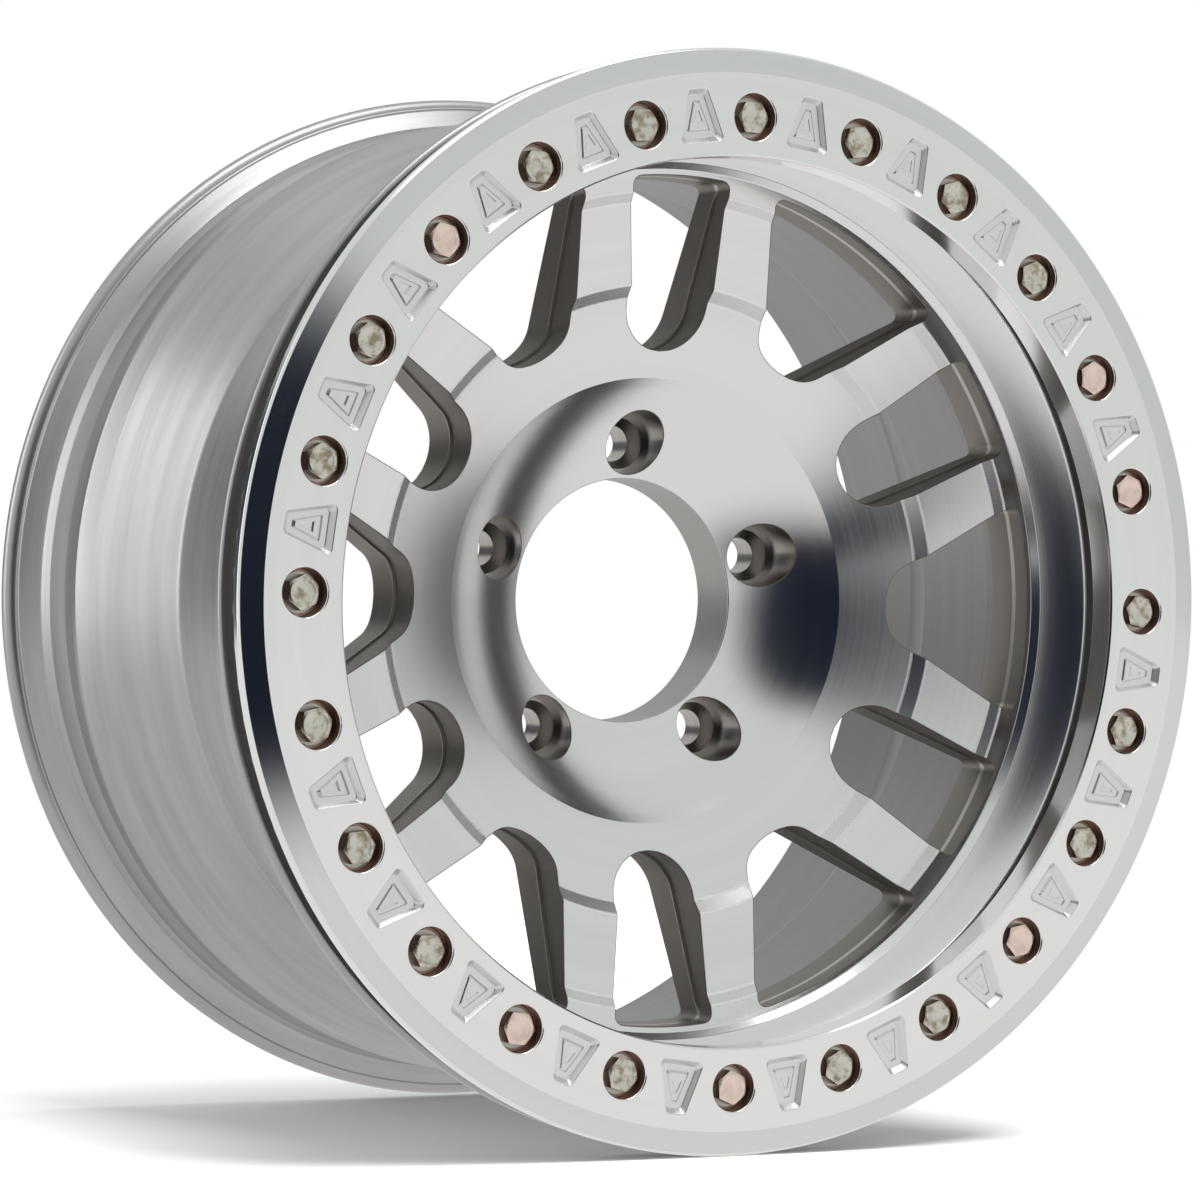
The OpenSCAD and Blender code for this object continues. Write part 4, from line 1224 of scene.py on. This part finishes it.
studio = {
    "floorZ": -0.2352, "floorColour": 0.96, "floorFadeFrom": 0.9, "floorFadeTo": 2.4,
    "floorMirrored": (0.84, 0.835, 0.82),
    "worldLight": (0.715, 0.74, 0.72),
    "cardColour": (0.008, 0.012, 0.024),
    # place, width and height, share of it that is fully dark, and for the flat one its lean
    "cards": {
        "darkFront": {"azimuth": -37.0, "elevation": 7.1, "distance": 1.6, "size": (2.08, 1.92),
                      "solid": 0.52},
        "darkFloor": {"azimuth": -27.0, "elevation": -10.8, "distance": 1.2, "size": (1.2, 1.6),
                      "solid": 0.5, "flat": True},
        "darkBehind": {"azimuth": -158.0, "elevation": 6.0, "distance": 3.0, "size": (1.9, 2.4),
                       "solid": 0.4},
    },
    # place, distance, size, power, whether the metal mirrors it and whether it lights the floor
    "softboxes": {
        "above": (28.0, 73.0, 2.6, (2.0, 2.0), 120.0, False, True),
        "left": (-118.0, 12.0, 2.4, (0.5, 2.2), 9.0, True, True),
        "glint": (-20.0, 84.0, 2.0, (1.5, 1.0), 13.0, True, False),
    },
}


def makeFloor(s):
    bpy.ops.mesh.primitive_plane_add(size=40, location=(0, 0, s["floorZ"]))
    floor = bpy.context.active_object
    floor.name = "floor"
    paint = bpy.data.materials.new("floorPaint")
    paint.use_nodes = True
    tree = paint.node_tree
    shader = tree.nodes["Principled BSDF"]
    shader.inputs["Base Color"].default_value = (s["floorColour"],) * 3 + (1,)
    shader.inputs["Roughness"].default_value = 1.0
    shader.inputs["Specular IOR Level"].default_value = 0.0
    # far from the wheel the floor turns into plain white, so that it ends without an edge
    away, place = tree.nodes.new("ShaderNodeVectorMath"), tree.nodes.new("ShaderNodeTexCoord")
    away.operation = "LENGTH"
    level, mix = tree.nodes.new("ShaderNodeMapRange"), tree.nodes.new("ShaderNodeMixShader")
    level.interpolation_type = "SMOOTHSTEP"
    level.inputs["From Min"].default_value = s["floorFadeFrom"]
    level.inputs["From Max"].default_value = s["floorFadeTo"]
    white = tree.nodes.new("ShaderNodeEmission")
    white.inputs["Color"].default_value = (1, 1, 1, 1)
    # the metal mirrors an evenly lit floor, a little darker than the white one the camera sees
    seen, even, last = (tree.nodes.new(kind) for kind in
                        ("ShaderNodeLightPath", "ShaderNodeEmission", "ShaderNodeMixShader"))
    even.inputs["Color"].default_value = (*s["floorMirrored"], 1)
    linkUp(tree, [(place.outputs["Object"], away.inputs[0]), (away.outputs["Value"], level.inputs["Value"]),
                  (level.outputs[0], mix.inputs[0]), (shader.outputs[0], mix.inputs[1]),
                  (white.outputs[0], mix.inputs[2]), (seen.outputs["Is Glossy Ray"], last.inputs[0]),
                  (mix.outputs[0], last.inputs[1]), (even.outputs[0], last.inputs[2]),
                  (last.outputs[0], tree.nodes["Material Output"].inputs["Surface"])])
    floor.data.materials.append(paint)


def backDirection(azimuth, elevation):
    a, e = math.radians(azimuth), math.radians(elevation)
    return Vector((math.sin(a) * math.cos(e), -math.cos(a) * math.cos(e), math.sin(e)))


def makeDarkCard(name, c, s):
    away = backDirection(c["azimuth"], c["elevation"])
    bpy.ops.mesh.primitive_plane_add(size=1, location=away * c["distance"])
    card = bpy.context.active_object
    card.name = name
    card.scale = (*c["size"], 1)
    card.rotation_mode = "QUATERNION"
    if "flat" in c:
        card.rotation_quaternion = Matrix.Rotation(math.radians(c["azimuth"]), 4, "Z").to_quaternion()
    else:
        card.rotation_quaternion = away.to_track_quat("Z", "Y")
    card.visible_camera = card.visible_shadow = card.visible_diffuse = False
    paint = bpy.data.materials.new("cardPaint")
    paint.use_nodes = True
    tree = paint.node_tree
    tree.nodes.clear()
    split = tree.nodes.new("ShaderNodeSeparateXYZ")
    place = tree.nodes.new("ShaderNodeTexCoord")
    level = tree.nodes.new("ShaderNodeMapRange")
    level.interpolation_type = "SMOOTHSTEP"
    level.inputs["From Min"].default_value, level.inputs["From Max"].default_value = 0.5, c["solid"] * 0.5
    dark, clear = tree.nodes.new("ShaderNodeEmission"), tree.nodes.new("ShaderNodeBsdfTransparent")
    dark.inputs["Color"].default_value = (*s["cardColour"], 1)
    mix, out = tree.nodes.new("ShaderNodeMixShader"), tree.nodes.new("ShaderNodeOutputMaterial")
    tree.links.new(place.outputs["Object"], split.inputs[0])
    x, y, _ = split.outputs
    cubes = [mathNode(tree, "POWER", mathNode(tree, "ABSOLUTE", v), 3.0) for v in (x, y)]
    reach = mathNode(tree, "POWER", mathNode(tree, "ADD", *cubes), 1 / 3)
    linkUp(tree, [(reach, level.inputs["Value"]), (level.outputs[0], mix.inputs[0]),
                  (clear.outputs[0], mix.inputs[1]), (dark.outputs[0], mix.inputs[2]),
                  (mix.outputs[0], out.inputs["Surface"])])
    card.data.materials.append(paint)


def makeWorld(s):
    scene = bpy.context.scene
    world = bpy.data.worlds.new("studio")
    scene.world = world
    world.use_nodes = True
    tree = world.node_tree
    light = tree.nodes["Background"]
    light.inputs["Color"].default_value = (*s["worldLight"], 1)
    seen, mix = tree.nodes.new("ShaderNodeBackground"), tree.nodes.new("ShaderNodeMixShader")
    seen.inputs["Color"].default_value = (1, 1, 1, 1)
    path = tree.nodes.new("ShaderNodeLightPath")
    linkUp(tree, [(path.outputs["Is Camera Ray"], mix.inputs[0]), (light.outputs[0], mix.inputs[1]),
                  (seen.outputs[0], mix.inputs[2]),
                  (mix.outputs[0], tree.nodes["World Output"].inputs["Surface"])])
    scene.view_settings.view_transform = "Standard"


def makeSoftbox(name, azimuth, elevation, distance, size, power, mirrored, lightsFloor):
    data = bpy.data.lights.new(name, "AREA")
    data.shape, data.size, data.size_y, data.energy = "RECTANGLE", size[0], size[1], power
    made = bpy.data.objects.new(name, data)
    bpy.context.scene.collection.objects.link(made)
    away = backDirection(azimuth, elevation)
    made.location = away * distance
    made.rotation_mode = "QUATERNION"
    made.rotation_quaternion = away.to_track_quat("Z", "Y")
    made.visible_glossy, made.visible_diffuse = mirrored, lightsFloor


makeFloor(studio)
for name, card in studio["cards"].items():
    makeDarkCard(name, card, studio)
makeWorld(studio)
for name, setting in studio["softboxes"].items():
    makeSoftbox(name, *setting)

cameraPlace = {"azimuth": -29.034, "elevation": -0.0801, "roll": 1.2725, "distance": 1.94934,
               "target": (-0.07033, -0.133, -0.00033), "lens": 140.31}


def makeCamera(c):
    back = backDirection(c["azimuth"], c["elevation"])
    right = Vector((math.cos(math.radians(c["azimuth"])), math.sin(math.radians(c["azimuth"])), 0))
    up = back.cross(right)
    t = math.radians(c["roll"])
    right, up = right * math.cos(t) + up * math.sin(t), up * math.cos(t) - right * math.sin(t)
    data = bpy.data.cameras.new("camera")
    data.lens, data.sensor_width, data.sensor_fit = c["lens"], 36, "HORIZONTAL"
    data.clip_start, data.clip_end = 0.05, 60
    made = bpy.data.objects.new("camera", data)
    bpy.context.scene.collection.objects.link(made)
    spot = Vector(c["target"]) + back * c["distance"]
    made.matrix_world = Matrix([(right[k], up[k], back[k], spot[k]) for k in range(3)] + [(0, 0, 0, 1)])
    bpy.context.scene.camera = made


makeCamera(cameraPlace)
print("studio ready")
